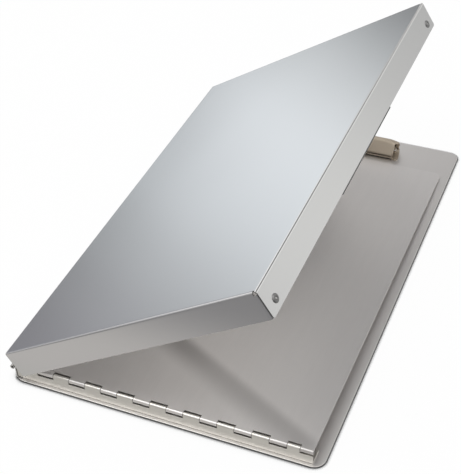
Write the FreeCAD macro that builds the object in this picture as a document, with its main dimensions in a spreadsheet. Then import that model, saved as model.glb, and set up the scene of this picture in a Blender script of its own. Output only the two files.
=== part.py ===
"""Storage clipboard for legal-size forms: base, writing plate, side-hinged cover and paper clip.

Millimetres, +Z up, origin at the middle of the base plate's underside. -Y is the near short edge,
where the writing plate is hinged, +Y the far edge with the clip, -X the side of the cover's hinge.
The cover stands part open, as it rests.
"""
import FreeCAD, Part
import os
import re
import sys

import Sketcher
from FreeCAD import Placement, Rotation, Vector

DRIVING_SIZES = [
    # base plate
    ("base_width", 237.2),
    ("base_length", 383.0),
    ("base_sheet", 1.0),
    ("base_corner", 9.0),
    # cover, in its closed place over the base
    ("cover_depth", 22.2),
    ("cover_sheet", 0.8),
    ("cover_bend", 1.6),
    ("cover_free_margin", 3.0),
    ("cover_near_margin", 0.6),
    ("cover_far_margin", 1.6),
    ("closing_gap", 1.15),
    ("cover_end_radius", 5.0),
    ("cover_tab_length", 22.0),
    ("cover_tab_gap", 1.2),
    ("rest_opening_angle", 32.0),
    # rolled hinges
    ("hinge_sheet", 0.8),
    ("hinge_bend", 0.6),
    ("pin_radius", 0.95),
    ("pin_play", 0.03),
    ("pin_inset", 0.4),
    ("knuckle_spacing", 12.7),
    ("knuckle_gap", 0.3),
    ("end_knuckle", 9.2),
    ("notch_play", 0.3),
    # near hinge and writing plate
    ("near_hinge_left_inset", 7.35),
    ("near_hinge_right_inset", 7.6),
    ("near_face_inset", 2.5),
    ("near_pin_height", 11.2),
    ("near_foot", 12.0),
    ("plate_clip_gap", 9.62),
    ("plate_corner", 5.0),
    ("plate_rest_gap", 0.2),
    # side hinge
    ("side_pin_inset", 1.22),
    ("side_hinge_end_gap", 1.4),
    ("side_pin_height", 12.2),
    ("side_foot", 9.0),
    ("foot_gap", 0.6),
    ("cover_leaf_rise", 9.0),
    # rivets of the hinges
    ("leaf_rivet_radius", 1.2),
    ("leaf_rivet_head", 2.4),
    ("leaf_rivet_dome", 0.5),
    ("rivet_play", 0.05),
    ("rivet_recess", 0.1),
    ("near_rivet_spacing", 48.0),
    ("side_rivet_spacing", 58.0),
    # corner rivets of the cover
    ("corner_rivet_radius", 1.6),
    ("corner_rivet_head", 3.175),
    ("corner_rivet_dome", 0.9),
    ("corner_rivet_inset", 12.0),
    ("corner_rivet_rise", 7.0),
    ("corner_rivet_eye", 0.9),
    ("corner_rivet_eye_depth", 0.35),
    ("corner_rivet_tail", 2.2),
    ("corner_rivet_tail_length", 2.4),
    # latch strip
    ("latch_length", 116.0),
    ("latch_rise", 8.0),
    ("latch_drop", 0.9),
    ("latch_sheet", 0.6),
    ("latch_lip_sheet", 0.7),
    # paper clip
    ("clip_length", 128.0),
    ("clip_depth", 14.0),
    ("clip_height", 12.5),
    ("clip_slope_run", 7.0),
    ("clip_far_inset", 28.4),
    ("clip_sheet", 0.9),
    ("clip_bend", 2.2),
    ("clip_pin_height", 4.6),
    ("clip_lip_height", 2.2),
    ("clip_slit", 1.0),
    ("clip_end_knuckle", 20.0),
    ("clip_pin_radius", 1.0),
    ("clip_rivet_spacing", 44.0),
    ("clip_rivet_set_in", 5.0),
    ("spring_zone", 24.0),
    ("spring_wire", 0.4),
    ("spring_coil_radius", 1.5),
    ("coil_spacing", 2.2),
    ("spring_leg", 5.0),
    # how far a cutting solid runs past what it cuts
    ("overrun", 1.0),
]

# pairs of knuckles that fit between the two longer ends of a hinge
KNUCKLE_PAIRS = "floor(({} - 2 * end_knuckle - knuckle_spacing) / (2 * knuckle_spacing)) + 1"

WORKED_OUT_SIZES = [
    ("barrel_radius", "pin_radius + pin_play + hinge_sheet"),
    ("barrel_bore", "pin_radius + pin_play"),
    ("notch_reach", "barrel_radius + notch_play"),
    # cover about the side pin, closed
    ("cover_width", "base_width - cover_free_margin - side_pin_inset - barrel_radius"),
    ("cover_length", "base_length - cover_near_margin - cover_far_margin"),
    ("cover_left", "barrel_radius"),
    ("cover_right", "cover_left + cover_width"),
    ("cover_bottom", "base_sheet + closing_gap - side_pin_height"),
    ("cover_top", "cover_bottom + cover_depth"),
    ("side_pin_x", "side_pin_inset - base_width / 2"),
    ("cover_middle_y", "(cover_near_margin - cover_far_margin) / 2"),
    ("side_hinge_length", "cover_length - 2 * side_hinge_end_gap"),
    ("side_knuckles", KNUCKLE_PAIRS.format("side_hinge_length")),
    # near hinge
    ("near_pin_y", "near_face_inset + barrel_radius - base_length / 2"),
    ("near_middle_x", "(near_hinge_left_inset - near_hinge_right_inset) / 2"),
    ("near_hinge_length", "base_width - near_hinge_left_inset - near_hinge_right_inset"),
    ("near_knuckles", KNUCKLE_PAIRS.format("near_hinge_length")),
    # writing plate's slope, so that its far edge lies on the side hinge's rivet heads
    ("plate_reach", "base_length - near_face_inset - barrel_radius - clip_far_inset - plate_clip_gap"),
    ("plate_under", "barrel_radius - hinge_sheet"),
    ("plate_fall", "near_pin_height - base_sheet - hinge_sheet - leaf_rivet_dome - plate_rest_gap"),
    ("plate_slope_angle",
     "(atan(plate_under / plate_reach) + asin(plate_fall / sqrt(plate_under ^ 2 + plate_reach ^ 2))) / 1deg"),
    # clip about its own pin
    ("clip_barrel", "clip_pin_radius + pin_play + clip_sheet"),
    ("clip_front", "clip_barrel - clip_depth"),
    ("clip_top", "clip_height - clip_pin_height"),
    ("clip_foot_top", "clip_sheet - clip_pin_height"),
    ("clip_pin_y", "base_length / 2 - clip_far_inset - clip_front"),
    ("clip_pin_z", "base_sheet + clip_pin_height"),
    ("clip_jaw_bottom", "clip_lip_height + clip_slit - clip_pin_height"),
    ("clip_notch_reach", "clip_barrel + notch_play"),
]

# rows of rivets, as sums of the sizes above
NEAR_RIVETS = "floor((near_hinge_length - 4 * end_knuckle) / near_rivet_spacing + 1)"
SIDE_RIVETS = "floor((side_hinge_length - 4 * end_knuckle) / side_rivet_spacing + 1)"
CLIP_RIVETS = "floor((clip_length - 2 * clip_end_knuckle) / clip_rivet_spacing + 1)"
NEAR_RIVET_X = f"near_middle_x - ({NEAR_RIVETS} - 1) * near_rivet_spacing / 2"
NEAR_RIVET_Y = "near_pin_y + near_foot / 2"
SIDE_RIVET_X = "side_pin_x + barrel_bore + side_foot / 2"
SIDE_RIVET_Y = f"cover_middle_y - ({SIDE_RIVETS} - 1) * side_rivet_spacing / 2"
CLIP_RIVET_X = f"near_middle_x - ({CLIP_RIVETS} - 1) * clip_rivet_spacing / 2"
CLIP_RIVET_Y = "clip_pin_y + clip_front + clip_rivet_set_in"
WALL_RIVET_Z = "(notch_reach + cover_leaf_rise) / 2"
CORNER_RIVET_Y = "cover_length / 2 - corner_rivet_inset"
CORNER_RIVET_Z = "cover_bottom + corner_rivet_rise"

# points of a rivet head's curve: shares of the head's radius and of the dome's height
DOME_SHARES = ((0.9, 0.6), (0.6, 0.92))
CORNER_DOME_SHARES = ((1, 0.25), (0.75, 0.7))
TAIL_SHARE = 0.6
CLOSE_SHARE = 0.001

document = FreeCAD.newDocument("storage_clipboard")
sizes = document.addObject("Spreadsheet::Sheet", "sizes")
worked = document.addObject("Spreadsheet::Sheet", "worked")
SHEET_OF = {name: "sizes" for name, _ in DRIVING_SIZES}
SHEET_OF.update({name: "worked" for name, _ in WORKED_OUT_SIZES})


def formula(text):
    """Write each size's name in a sum as its sheet's cell."""
    return re.sub(r"[a-z_]+[a-z]", lambda word: sheet_cell(word.group(0)), text)


def sheet_cell(word):
    """Give the cell of a size, or the word itself where it names none."""
    return f"{SHEET_OF[word]}.{word}" if word in SHEET_OF else word


def amount(text):
    """Work out a sum of sizes."""
    return float(sizes.evalExpression(formula(text)))


def fill_sheets():
    """Put the driving sizes and the sums that follow from them into their sheets."""
    for row, (name, value) in enumerate(DRIVING_SIZES, start=1):
        sizes.set(f"A{row}", name)
        sizes.set(f"B{row}", str(value))
        sizes.setAlias(f"B{row}", name)
    document.recompute()
    for row, (name, text) in enumerate(WORKED_OUT_SIZES, start=1):
        worked.set(f"A{row}", name)
        worked.set(f"B{row}", "=" + formula(text))
        worked.setAlias(f"B{row}", name)
        document.recompute()


def bind(item, **bound):
    """Bind properties to sums of sizes; two underscores stand for a dot."""
    for path, text in bound.items():
        item.setExpression(path.replace("__", "."), formula(text))


def place(item, x="0", y="0", z="0", angle=None, axis=Vector(0, 0, 1)):
    """Put a sub-part at a place, turned about an axis by an angle in degrees."""
    if angle is None:
        item.Placement = Placement(Vector(), Rotation())
    else:
        item.Placement = Placement(Vector(), Rotation(axis, amount(angle)))
        bind(item, Placement__Rotation__Angle=angle)
    bind(item, Placement__Base__x=x, Placement__Base__y=y, Placement__Base__z=z)


def body(name):
    """Start a body whose label names its file."""
    made = document.addObject("PartDesign::Body", name)
    made.Label = name
    return made


def origin_feature(owner, role):
    """Find one of a body's own origin planes or axes."""
    return next(item for item in owner.Origin.OriginFeatures if item.Role == role)


def sketch_on(owner, plane, name, lift="0"):
    """Attach a sketch to a body's origin plane, lifted along its normal."""
    sketch = owner.newObject("Sketcher::SketchObject", name)
    sketch.AttachmentSupport = [(origin_feature(owner, plane), "")]
    sketch.MapMode = "FlatFace"
    bind(sketch, AttachmentOffset__Base__z=lift)
    return sketch


def fix_point(sketch, line, end, x, y):
    """Hold a line's end at a place measured from the sketch's origin."""
    for kind, text in (("DistanceX", x), ("DistanceY", y)):
        number = sketch.addConstraint(Sketcher.Constraint(kind, -1, 1, line, end, amount(text)))
        bind(sketch, **{f"Constraints[{number}]": text})


def outline(sketch, points):
    """Draw a closed outline of straight lines through points given as sums of sizes."""
    places = [Vector(amount(x), amount(y), 0) for x, y in points]
    first = sketch.GeometryCount
    for start, end in zip(places, places[1:] + places[:1]):
        sketch.addGeometry(Part.LineSegment(start, end), False)
    for number in range(len(points)):
        following = (number + 1) % len(points)
        sketch.addConstraint(Sketcher.Constraint("Coincident", first + number, 2, first + following, 1))
    for number, (x, y) in enumerate(points):
        fix_point(sketch, first + number, 1, x, y)


def rectangle(sketch, left, bottom, right, top):
    """Draw a rectangle between two corners."""
    outline(sketch, [(left, bottom), (right, bottom), (right, top), (left, top)])


def circle(sketch, radius, x="0", y="0"):
    """Draw a circle."""
    centre = Vector(amount(x), amount(y), 0)
    number = sketch.addGeometry(Part.Circle(centre, Vector(0, 0, 1), amount(radius)), False)
    held = sketch.addConstraint(Sketcher.Constraint("Radius", number, amount(radius)))
    bind(sketch, **{f"Constraints[{held}]": radius})
    fix_point(sketch, number, 3, x, y)


def pad(owner, sketch, length, name, middle=False):
    """Pad a sketch along its normal, or to both sides of its plane."""
    made = owner.newObject("PartDesign::Pad", name)
    made.Profile = sketch
    bind(made, Length=length)
    made.Midplane = middle
    document.recompute()
    return made


def pocket(owner, sketch, length, name, reverse=False, middle=False):
    """Cut a sketch into the body and make sure that the cut takes something away."""
    before = owner.Tip.Shape.Volume
    made = owner.newObject("PartDesign::Pocket", name)
    made.Profile = sketch
    bind(made, Length=length)
    made.Midplane = middle
    made.Reversed = reverse
    document.recompute()
    if made.Shape.Volume >= before:
        sys.exit(f"{owner.Label}: {name} cuts nothing")
    return made


def repeat(owner, feature, axis, pitch, count, name, backwards=False):
    """Repeat a feature along one of the body's axes."""
    made = owner.newObject("PartDesign::LinearPattern", name)
    made.Originals = [feature]
    made.Direction = (origin_feature(owner, axis), [""])
    made.Reversed = backwards
    bind(made, Length=f"({pitch}) * max(({count}) - 1; 1)", Occurrences=count)
    owner.Tip = made
    document.recompute()
    return made


def edges_near(feature, test):
    """Name the straight edges whose middle passes a test."""
    named = []
    for number, edge in enumerate(feature.Shape.Edges, start=1):
        middle = edge.valueAt((edge.FirstParameter + edge.LastParameter) / 2)
        if edge.Curve.TypeId == "Part::GeomLine" and test(middle, edge.tangentAt(edge.FirstParameter)):
            named.append(f"Edge{number}")
    return named


def round_edges(owner, feature, radius, name, test):
    """Round the edges that pass a test."""
    named = edges_near(feature, test)
    if not named:
        sys.exit(f"{owner.Label}: {name} finds no edge")
    made = owner.newObject("PartDesign::Fillet", name)
    made.Base = (feature, named)
    bind(made, Radius=radius)
    document.recompute()
    return made


def close(one, other):
    """Say whether two lengths are the same within a small share of the sheet."""
    return abs(one - other) < CLOSE_SHARE * amount("hinge_sheet")


def along(direction, axis):
    """Say whether an edge runs along a world axis, 0 for X, 1 for Y and 2 for Z."""
    return abs(direction[axis]) > 1 - CLOSE_SHARE


def hole_row(owner, plane, lift, depth, radius, x, y, axis, pitch, count, name, reverse=False):
    """Drill a row of holes that starts at a point of a plane."""
    sketch = sketch_on(owner, plane, f"{name}_sketch", lift)
    circle(sketch, radius, x, y)
    first = pocket(owner, sketch, depth, name, reverse)
    repeat(owner, first, axis, pitch, count, f"{name}_row")


def rolled_leaf(name, plane, length):
    """Start a hinge leaf with its barrel about the hinge's axis, on both sides of its middle."""
    leaf = body(name)
    barrel = sketch_on(leaf, plane, f"{name}_barrel_sketch")
    circle(barrel, "barrel_radius")
    circle(barrel, "barrel_bore")
    pad(leaf, barrel, length, f"{name}_barrel", middle=True)
    return leaf


def strip(owner, plane, length, left, bottom, right, top, name):
    """Add a flat strip, drawn in section and as long as the hinge."""
    section = sketch_on(owner, plane, f"{name}_sketch")
    rectangle(section, left, bottom, right, top)
    return pad(owner, section, length, name, middle=True)


def notch(owner, plane, sides, across, depth, name):
    """Cut one notch for another leaf's knuckle; sides run along the hinge."""
    section = sketch_on(owner, plane, f"{name}_sketch")
    rectangle(section, sides[0], across[0], sides[1], across[1])
    return pocket(owner, section, depth, name, middle=True)


def notches_for_even(owner, plane, sign, length, knuckles, across, depth, axis):
    """Cut the notches of the leaf that holds the second, fourth and later knuckles from the start."""
    start = f"{sign} ({length} / 2)"
    inward = "-" if sign == "+" else "+"
    half_gap = "knuckle_gap / 2"
    notch(owner, plane, (f"{start} {sign} overrun", f"{start} {inward} (end_knuckle + {half_gap})"),
          across, depth, "start_notch")
    first = notch(owner, plane,
                  (f"{start} {inward} (2 * end_knuckle - {half_gap})",
                   f"{start} {inward} (2 * end_knuckle + knuckle_spacing + {half_gap})"),
                  across, depth, "knuckle_notch")
    repeat(owner, first, axis, "2 * knuckle_spacing", knuckles, "knuckle_notches", backwards=sign == "+")


def notches_for_odd(owner, plane, sign, length, knuckles, across, depth, axis):
    """Cut the notches of the leaf that holds the first, third and later knuckles from the start."""
    start = f"{sign} ({length} / 2)"
    inward = "-" if sign == "+" else "+"
    half_gap = "knuckle_gap / 2"
    notch(owner, plane,
          (f"{start} {inward} (end_knuckle - {half_gap})", f"{start} {inward} (2 * end_knuckle + {half_gap})"),
          across, depth, "start_notch")
    first = notch(owner, plane,
                  (f"{start} {inward} (2 * end_knuckle + knuckle_spacing - {half_gap})",
                   f"{start} {inward} (2 * end_knuckle + 2 * knuckle_spacing + {half_gap})"),
                  across, depth, "knuckle_notch")
    repeat(owner, first, axis, "2 * knuckle_spacing", f"{knuckles} - 1", "knuckle_notches",
           backwards=sign == "+")
    last = f"(2 * end_knuckle + (2 * {knuckles} - 1) * knuckle_spacing - {half_gap})"
    notch(owner, plane, (f"{start} {inward} {last}", f"{inward} ({length} / 2 + overrun)"),
          across, depth, "end_notch")


def make_base_plate():
    """Flat sheet with rounded corners and holes for the rivets of both hinges and the clip."""
    base = body("base_plate")
    sheet = sketch_on(base, "XY_Plane", "base_outline")
    rectangle(sheet, "-base_width / 2", "-base_length / 2", "base_width / 2", "base_length / 2")
    blank = pad(base, sheet, "base_sheet", "base_blank")
    round_edges(base, blank, "base_corner", "base_corners", lambda middle, run: along(run, 2))
    depth = "base_sheet + overrun"
    hole = "leaf_rivet_radius + rivet_play"
    hole_row(base, "XY_Plane", "0", depth, hole, NEAR_RIVET_X, NEAR_RIVET_Y,
             "X_Axis", "near_rivet_spacing", NEAR_RIVETS, "near_holes", reverse=True)
    hole_row(base, "XY_Plane", "0", depth, hole, SIDE_RIVET_X, SIDE_RIVET_Y,
             "Y_Axis", "side_rivet_spacing", SIDE_RIVETS, "side_holes", reverse=True)
    hole_row(base, "XY_Plane", "0", depth, hole, CLIP_RIVET_X, CLIP_RIVET_Y,
             "X_Axis", "clip_rivet_spacing", CLIP_RIVETS, "clip_holes", reverse=True)
    place(base)
    return base


def make_near_hinge_leaf():
    """Upright strip along the near edge with a foot on the base, holding the even knuckles."""
    leaf = rolled_leaf("near_hinge_leaf", "YZ_Plane", "near_hinge_length")
    drop = "base_sheet - near_pin_height"
    strip(leaf, "YZ_Plane", "near_hinge_length", "-barrel_radius", drop, "-barrel_bore", "0", "upright")
    foot = strip(leaf, "YZ_Plane", "near_hinge_length", "-barrel_radius", drop,
                 "near_foot - barrel_radius", f"{drop} + hinge_sheet", "foot")
    bottom = amount(drop)
    outer = round_edges(leaf, foot, "hinge_bend + hinge_sheet", "outer_bend",
                        lambda middle, run: along(run, 0) and close(middle.z, bottom)
                        and close(middle.y, -amount("barrel_radius")))
    round_edges(leaf, outer, "hinge_bend", "inner_bend",
                lambda middle, run: along(run, 0) and close(middle.z, bottom + amount("hinge_sheet"))
                and close(middle.y, -amount("barrel_bore")))
    notches_for_even(leaf, "XZ_Plane", "+", "near_hinge_length", "near_knuckles",
                     ("-notch_reach", "notch_reach"), "2 * notch_reach", "X_Axis")
    hole_row(leaf, "XY_Plane", drop, "hinge_sheet + overrun", "leaf_rivet_radius + rivet_play",
             f"{NEAR_RIVET_X} - near_middle_x", "near_foot / 2", "X_Axis", "near_rivet_spacing",
             NEAR_RIVETS, "rivet_holes", reverse=True)
    place(leaf, "near_middle_x", "near_pin_y", "near_pin_height")
    return leaf


def make_writing_plate():
    """Sheet whose near edge is rolled into the odd knuckles and whose far edge comes down to the base."""
    plate = rolled_leaf("writing_plate", "YZ_Plane", "near_hinge_length")
    flat = strip(plate, "YZ_Plane", "near_hinge_length", "0", "barrel_bore", "plate_reach",
                 "barrel_radius", "flat")
    far = amount("plate_reach")
    round_edges(plate, flat, "plate_corner", "far_corners",
                lambda middle, run: along(run, 2) and close(middle.y, far))
    notches_for_odd(plate, "XY_Plane", "+", "near_hinge_length", "near_knuckles",
                    ("-notch_reach", "notch_reach"), "2 * notch_reach", "X_Axis")
    place(plate, "near_middle_x", "near_pin_y", "near_pin_height",
          angle="-plate_slope_angle", axis=Vector(1, 0, 0))
    return plate


def make_side_base_leaf():
    """Upright leaf along the cover's hinge, its foot cut back where the near hinge's foot lies."""
    leaf = rolled_leaf("side_base_leaf", "XZ_Plane", "side_hinge_length")
    drop = "base_sheet - side_pin_height"
    strip(leaf, "XZ_Plane", "side_hinge_length", "barrel_bore", drop, "barrel_radius", "0", "upright")
    foot = strip(leaf, "XZ_Plane", "side_hinge_length", "barrel_bore", drop,
                 "barrel_bore + side_foot", f"{drop} + hinge_sheet", "foot")
    bottom = amount(drop)
    outer = round_edges(leaf, foot, "hinge_bend + hinge_sheet", "outer_bend",
                        lambda middle, run: along(run, 1) and close(middle.z, bottom)
                        and close(middle.x, amount("barrel_bore")))
    round_edges(leaf, outer, "hinge_bend", "inner_bend",
                lambda middle, run: along(run, 1) and close(middle.z, bottom + amount("hinge_sheet"))
                and close(middle.x, amount("barrel_radius")))
    notches_for_even(leaf, "YZ_Plane", "-", "side_hinge_length", "side_knuckles",
                     ("-notch_reach", "notch_reach"), "2 * notch_reach", "Y_Axis")
    relief = sketch_on(leaf, "XY_Plane", "foot_relief_sketch", drop)
    rectangle(relief, "near_middle_x - near_hinge_length / 2 - side_pin_x - foot_gap",
              "-side_hinge_length / 2 - overrun", "barrel_bore + side_foot + overrun",
              "near_pin_y - barrel_radius + near_foot + foot_gap - cover_middle_y")
    pocket(leaf, relief, "hinge_sheet + overrun", "foot_relief", reverse=True)
    hole_row(leaf, "XY_Plane", drop, "hinge_sheet + overrun", "leaf_rivet_radius + rivet_play",
             f"{SIDE_RIVET_X} - side_pin_x", f"{SIDE_RIVET_Y} - cover_middle_y", "Y_Axis",
             "side_rivet_spacing", SIDE_RIVETS, "rivet_holes", reverse=True)
    place(leaf, "side_pin_x", "cover_middle_y", "side_pin_height")
    return leaf


def place_on_cover(item):
    """Turn a sub-part that is built about the side pin, closed, to the cover's resting place."""
    place(item, "side_pin_x", "cover_middle_y", "side_pin_height",
          angle="rest_opening_angle", axis=Vector(0, -1, 0))
    return item


def make_side_cover_leaf():
    """Leaf on the outside of the cover's hinge-side wall, holding the odd knuckles."""
    leaf = rolled_leaf("side_cover_leaf", "XZ_Plane", "side_hinge_length")
    strip(leaf, "XZ_Plane", "side_hinge_length", "barrel_bore", "0", "barrel_radius",
          "cover_leaf_rise", "upright")
    notches_for_odd(leaf, "YZ_Plane", "-", "side_hinge_length", "side_knuckles",
                    ("-notch_reach", "notch_reach"), "2 * notch_reach", "Y_Axis")
    hole_row(leaf, "YZ_Plane", "0", "barrel_radius + overrun", "leaf_rivet_radius + rivet_play",
             f"{SIDE_RIVET_Y} - cover_middle_y", WALL_RIVET_Z, "Y_Axis", "side_rivet_spacing",
             SIDE_RIVETS, "rivet_holes", reverse=True)
    return place_on_cover(leaf)


def make_cover_pan():
    """Folded sheet: a face, three deep walls and a short wall above the hinge's barrel."""
    pan = body("folded_pan")
    outer = sketch_on(pan, "XY_Plane", "pan_outline", "cover_bottom")
    rectangle(outer, "cover_left", "-cover_length / 2", "cover_right", "cover_length / 2")
    block = pad(pan, outer, "cover_depth", "pan_block")
    top = amount("cover_top")
    soft = round_edges(pan, block, "cover_bend", "pan_bends",
                       lambda middle, run: along(run, 2) or close(middle.z, top))
    bottom = amount("cover_bottom")
    under = next(f"Face{number}" for number, face in enumerate(soft.Shape.Faces, start=1)
                 if close(face.CenterOfMass.z, bottom))
    shell = pan.newObject("PartDesign::Thickness", "pan_shell")
    shell.Base = (soft, [under])
    shell.Join = "Arc"
    shell.Reversed = True
    bind(shell, Value="cover_sheet")
    document.recompute()
    inner_end = "cover_length / 2 - cover_sheet"
    relief = sketch_on(pan, "YZ_Plane", "hinge_wall_relief_sketch", "cover_left - overrun")
    rectangle(relief, f"-({inner_end})", "cover_bottom - overrun", inner_end, "notch_reach")
    pocket(pan, relief, "cover_bend + overrun", "hinge_wall_relief", reverse=True)
    for end, side in (("near", "-"), ("far", "+")):
        tab = sketch_on(pan, "YZ_Plane", f"{end}_tab_sketch", "cover_right - 2 * cover_sheet")
        rectangle(tab, f"{side} ({inner_end})", "cover_bottom + cover_tab_gap",
                  f"{side} ({inner_end} - cover_tab_length)", "cover_top - cover_bend - cover_tab_gap")
        pad(pan, tab, "cover_sheet", f"{end}_tab")
    hole_row(pan, "YZ_Plane", "cover_right - 2 * cover_sheet - overrun", "2 * cover_sheet + 2 * overrun",
             "corner_rivet_radius + rivet_play", f"-({CORNER_RIVET_Y})", CORNER_RIVET_Z,
             "Y_Axis", f"2 * ({CORNER_RIVET_Y})", "2", "corner_rivet_holes", reverse=True)
    hole_row(pan, "YZ_Plane", "cover_left - overrun", "cover_sheet + 2 * overrun",
             "leaf_rivet_radius + rivet_play", f"{SIDE_RIVET_Y} - cover_middle_y", WALL_RIVET_Z,
             "Y_Axis", "side_rivet_spacing", SIDE_RIVETS, "hinge_rivet_holes", reverse=True)
    cutters = [corner_cutter(end, side) for end, side in (("near", "-"), ("far", "+"))]
    for name, cutter in zip(("half_trimmed_pan", "cover_pan"), cutters):
        trimmed = document.addObject("Part::Cut", name)
        trimmed.Label = name
        trimmed.Base = pan
        trimmed.Tool = cutter
        pan = trimmed
    return place_on_cover(pan)


def corner_cutter(end, side):
    """Make what rounds a lower corner of the free long wall: a square bar less a round one."""
    size = "cover_end_radius + overrun"
    bar = document.addObject("Part::Box", f"{end}_corner_bar")
    bind(bar, Length="cover_bend + overrun", Width=size, Height=size)
    centre_y = f"{side} (cover_length / 2 - cover_end_radius)"
    centre_z = "cover_bottom + cover_end_radius"
    bar_y = centre_y if side == "+" else f"{centre_y} - ({size})"
    place(bar, "cover_right - cover_bend", bar_y, f"{centre_z} - ({size})")
    rod = document.addObject("Part::Cylinder", f"{end}_corner_rod")
    bind(rod, Radius="cover_end_radius", Height="cover_bend + 3 * overrun")
    rod.Placement = Placement(Vector(), Rotation(Vector(0, 1, 0), 90))
    bind(rod, Placement__Base__x="cover_right - cover_bend - overrun", Placement__Base__y=centre_y,
         Placement__Base__z=centre_z)
    cutter = document.addObject("Part::Cut", f"{end}_corner_cutter")
    cutter.Base = bar
    cutter.Tool = rod
    return cutter


def make_pin(name, radius, length, x, y, z, along_x):
    """Hinge pin, a round rod along X or Y, a little shorter than its hinge."""
    pin = document.addObject("Part::Cylinder", name)
    pin.Label = name
    bind(pin, Radius=radius, Height=f"{length} - 2 * pin_inset")
    turn = Rotation(Vector(0, 1, 0), 90) if along_x else Rotation(Vector(1, 0, 0), -90)
    pin.Placement = Placement(Vector(), turn)
    back = f"({length}) / 2 - pin_inset"
    bind(pin, Placement__Base__x=f"{x} - ({back})" if along_x else x,
         Placement__Base__y=y if along_x else f"{y} - ({back})", Placement__Base__z=z)
    return pin


def rivet_profile(owner, name, grip, head, shank, dome):
    """Turn a rivet: a low domed head over a shank that fills its grip."""
    half = sketch_on(owner, "XZ_Plane", f"{name}_profile")
    curve = [(f"{across} * {head}", f"{up} * {dome}") for across, up in DOME_SHARES]
    outline(half, [("0", f"-({grip})"), (shank, f"-({grip})"), (shank, "0"), (head, "0"), *curve,
                   ("0", dome)])
    turned = owner.newObject("PartDesign::Revolution", name)
    turned.Profile = half
    turned.ReferenceAxis = (half, ["V_Axis"])
    turned.Angle = 360
    document.recompute()
    return turned


def rivet_row(name, grip, axis, pitch, count, head="leaf_rivet_head", shank="leaf_rivet_radius",
              dome="leaf_rivet_dome"):
    """Make a row of equal rivets with their heads up."""
    row = body(name)
    first = rivet_profile(row, f"{name}_rivet", grip, head, shank, dome)
    repeat(row, first, axis, pitch, count, f"{name}_row")
    return row


def make_leaf_rivets():
    """Rivets of the hinge feet and of the cover's leaf."""
    grip = "hinge_sheet + base_sheet - rivet_recess"
    near = rivet_row("near_hinge_rivets", grip, "X_Axis", "near_rivet_spacing", NEAR_RIVETS)
    place(near, NEAR_RIVET_X, NEAR_RIVET_Y, "base_sheet + hinge_sheet")
    side = rivet_row("side_base_rivets", grip, "Y_Axis", "side_rivet_spacing", SIDE_RIVETS)
    place(side, SIDE_RIVET_X, SIDE_RIVET_Y, "base_sheet + hinge_sheet")


def make_cover_leaf_rivets():
    """Rivets through the cover's leaf and hinge-side wall, heads outside."""
    row = body("side_cover_rivets")
    profile = sketch_on(row, "XY_Plane", "rivet_profile", WALL_RIVET_Z)
    base_y = f"{SIDE_RIVET_Y} - cover_middle_y"
    outer = "barrel_bore"
    inner = "cover_left + cover_sheet - rivet_recess"
    curve = [(f"{outer} - {up} * leaf_rivet_dome", f"{base_y} + {across} * leaf_rivet_head")
             for across, up in DOME_SHARES]
    outline(profile, [(inner, base_y), (inner, f"{base_y} + leaf_rivet_radius"),
                      (outer, f"{base_y} + leaf_rivet_radius"), (outer, f"{base_y} + leaf_rivet_head"),
                      *curve, (f"{outer} - leaf_rivet_dome", base_y)])
    turned = row.newObject("PartDesign::Revolution", "rivet")
    turned.Profile = profile
    turned.ReferenceAxis = (profile, ["Edge7"])
    turned.Angle = 360
    document.recompute()
    repeat(row, turned, "Y_Axis", "side_rivet_spacing", SIDE_RIVETS, "rivet_rows")
    return place_on_cover(row)


def make_corner_rivets():
    """Two blind rivets through the free long wall and the folded tabs, with their eyes and tails."""
    row = body("corner_rivets")
    profile = sketch_on(row, "XY_Plane", "rivet_profile", CORNER_RIVET_Z)
    outer = "cover_right"
    inner = "cover_right - 2 * cover_sheet"
    middle = f"-({CORNER_RIVET_Y})"
    shank = f"{middle} + corner_rivet_radius"
    eye = f"{middle} + corner_rivet_eye"
    tail = f"{middle} + corner_rivet_tail"
    crown = f"{outer} + corner_rivet_dome"
    end = f"{inner} - corner_rivet_tail_length"
    dimple = f"{crown} - corner_rivet_eye_depth"
    rim, shoulder = [(f"{outer} + {up} * corner_rivet_dome", f"{middle} + {across} * corner_rivet_head")
                     for across, up in CORNER_DOME_SHARES]
    outline(profile, [(end, middle), (dimple, middle), (dimple, eye), (crown, eye), shoulder, rim,
                      (outer, rim[1]), (outer, shank), (inner, shank), (inner, tail),
                      (f"{inner} - {TAIL_SHARE} * corner_rivet_tail_length", tail), (end, eye)])
    turned = row.newObject("PartDesign::Revolution", "rivet")
    turned.Profile = profile
    turned.ReferenceAxis = (profile, ["Edge1"])
    turned.Angle = 360
    document.recompute()
    repeat(row, turned, "Y_Axis", f"2 * ({CORNER_RIVET_Y})", "2", "rivet_pair")
    return place_on_cover(row)


def make_latch_strip():
    """Spring strip inside the free long wall, whose lip comes out under the wall's edge."""
    latch = body("latch_strip")
    inner = "cover_right - cover_sheet"
    section = sketch_on(latch, "XZ_Plane", "latch_section")
    lip_top = "cover_bottom - latch_drop + latch_lip_sheet"
    outline(section, [(f"{inner} - latch_sheet", "cover_bottom - latch_drop"),
                      ("cover_right", "cover_bottom - latch_drop"), ("cover_right", lip_top),
                      (inner, lip_top), (inner, "cover_bottom + latch_rise"),
                      (f"{inner} - latch_sheet", "cover_bottom + latch_rise")])
    pad(latch, section, "latch_length", "latch_blank", middle=True)
    return place_on_cover(latch)


def place_clip(item):
    """Put a clip piece that is built about the clip's pin."""
    place(item, "near_middle_x", "clip_pin_y", "clip_pin_z")
    return item


def clip_barrel(owner, name):
    """Add the rolled barrel of a clip piece."""
    ring = sketch_on(owner, "YZ_Plane", f"{name}_barrel_sketch")
    circle(ring, "clip_barrel")
    circle(ring, "clip_pin_radius + pin_play")
    pad(owner, ring, "clip_length", f"{name}_barrel", middle=True)


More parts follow.
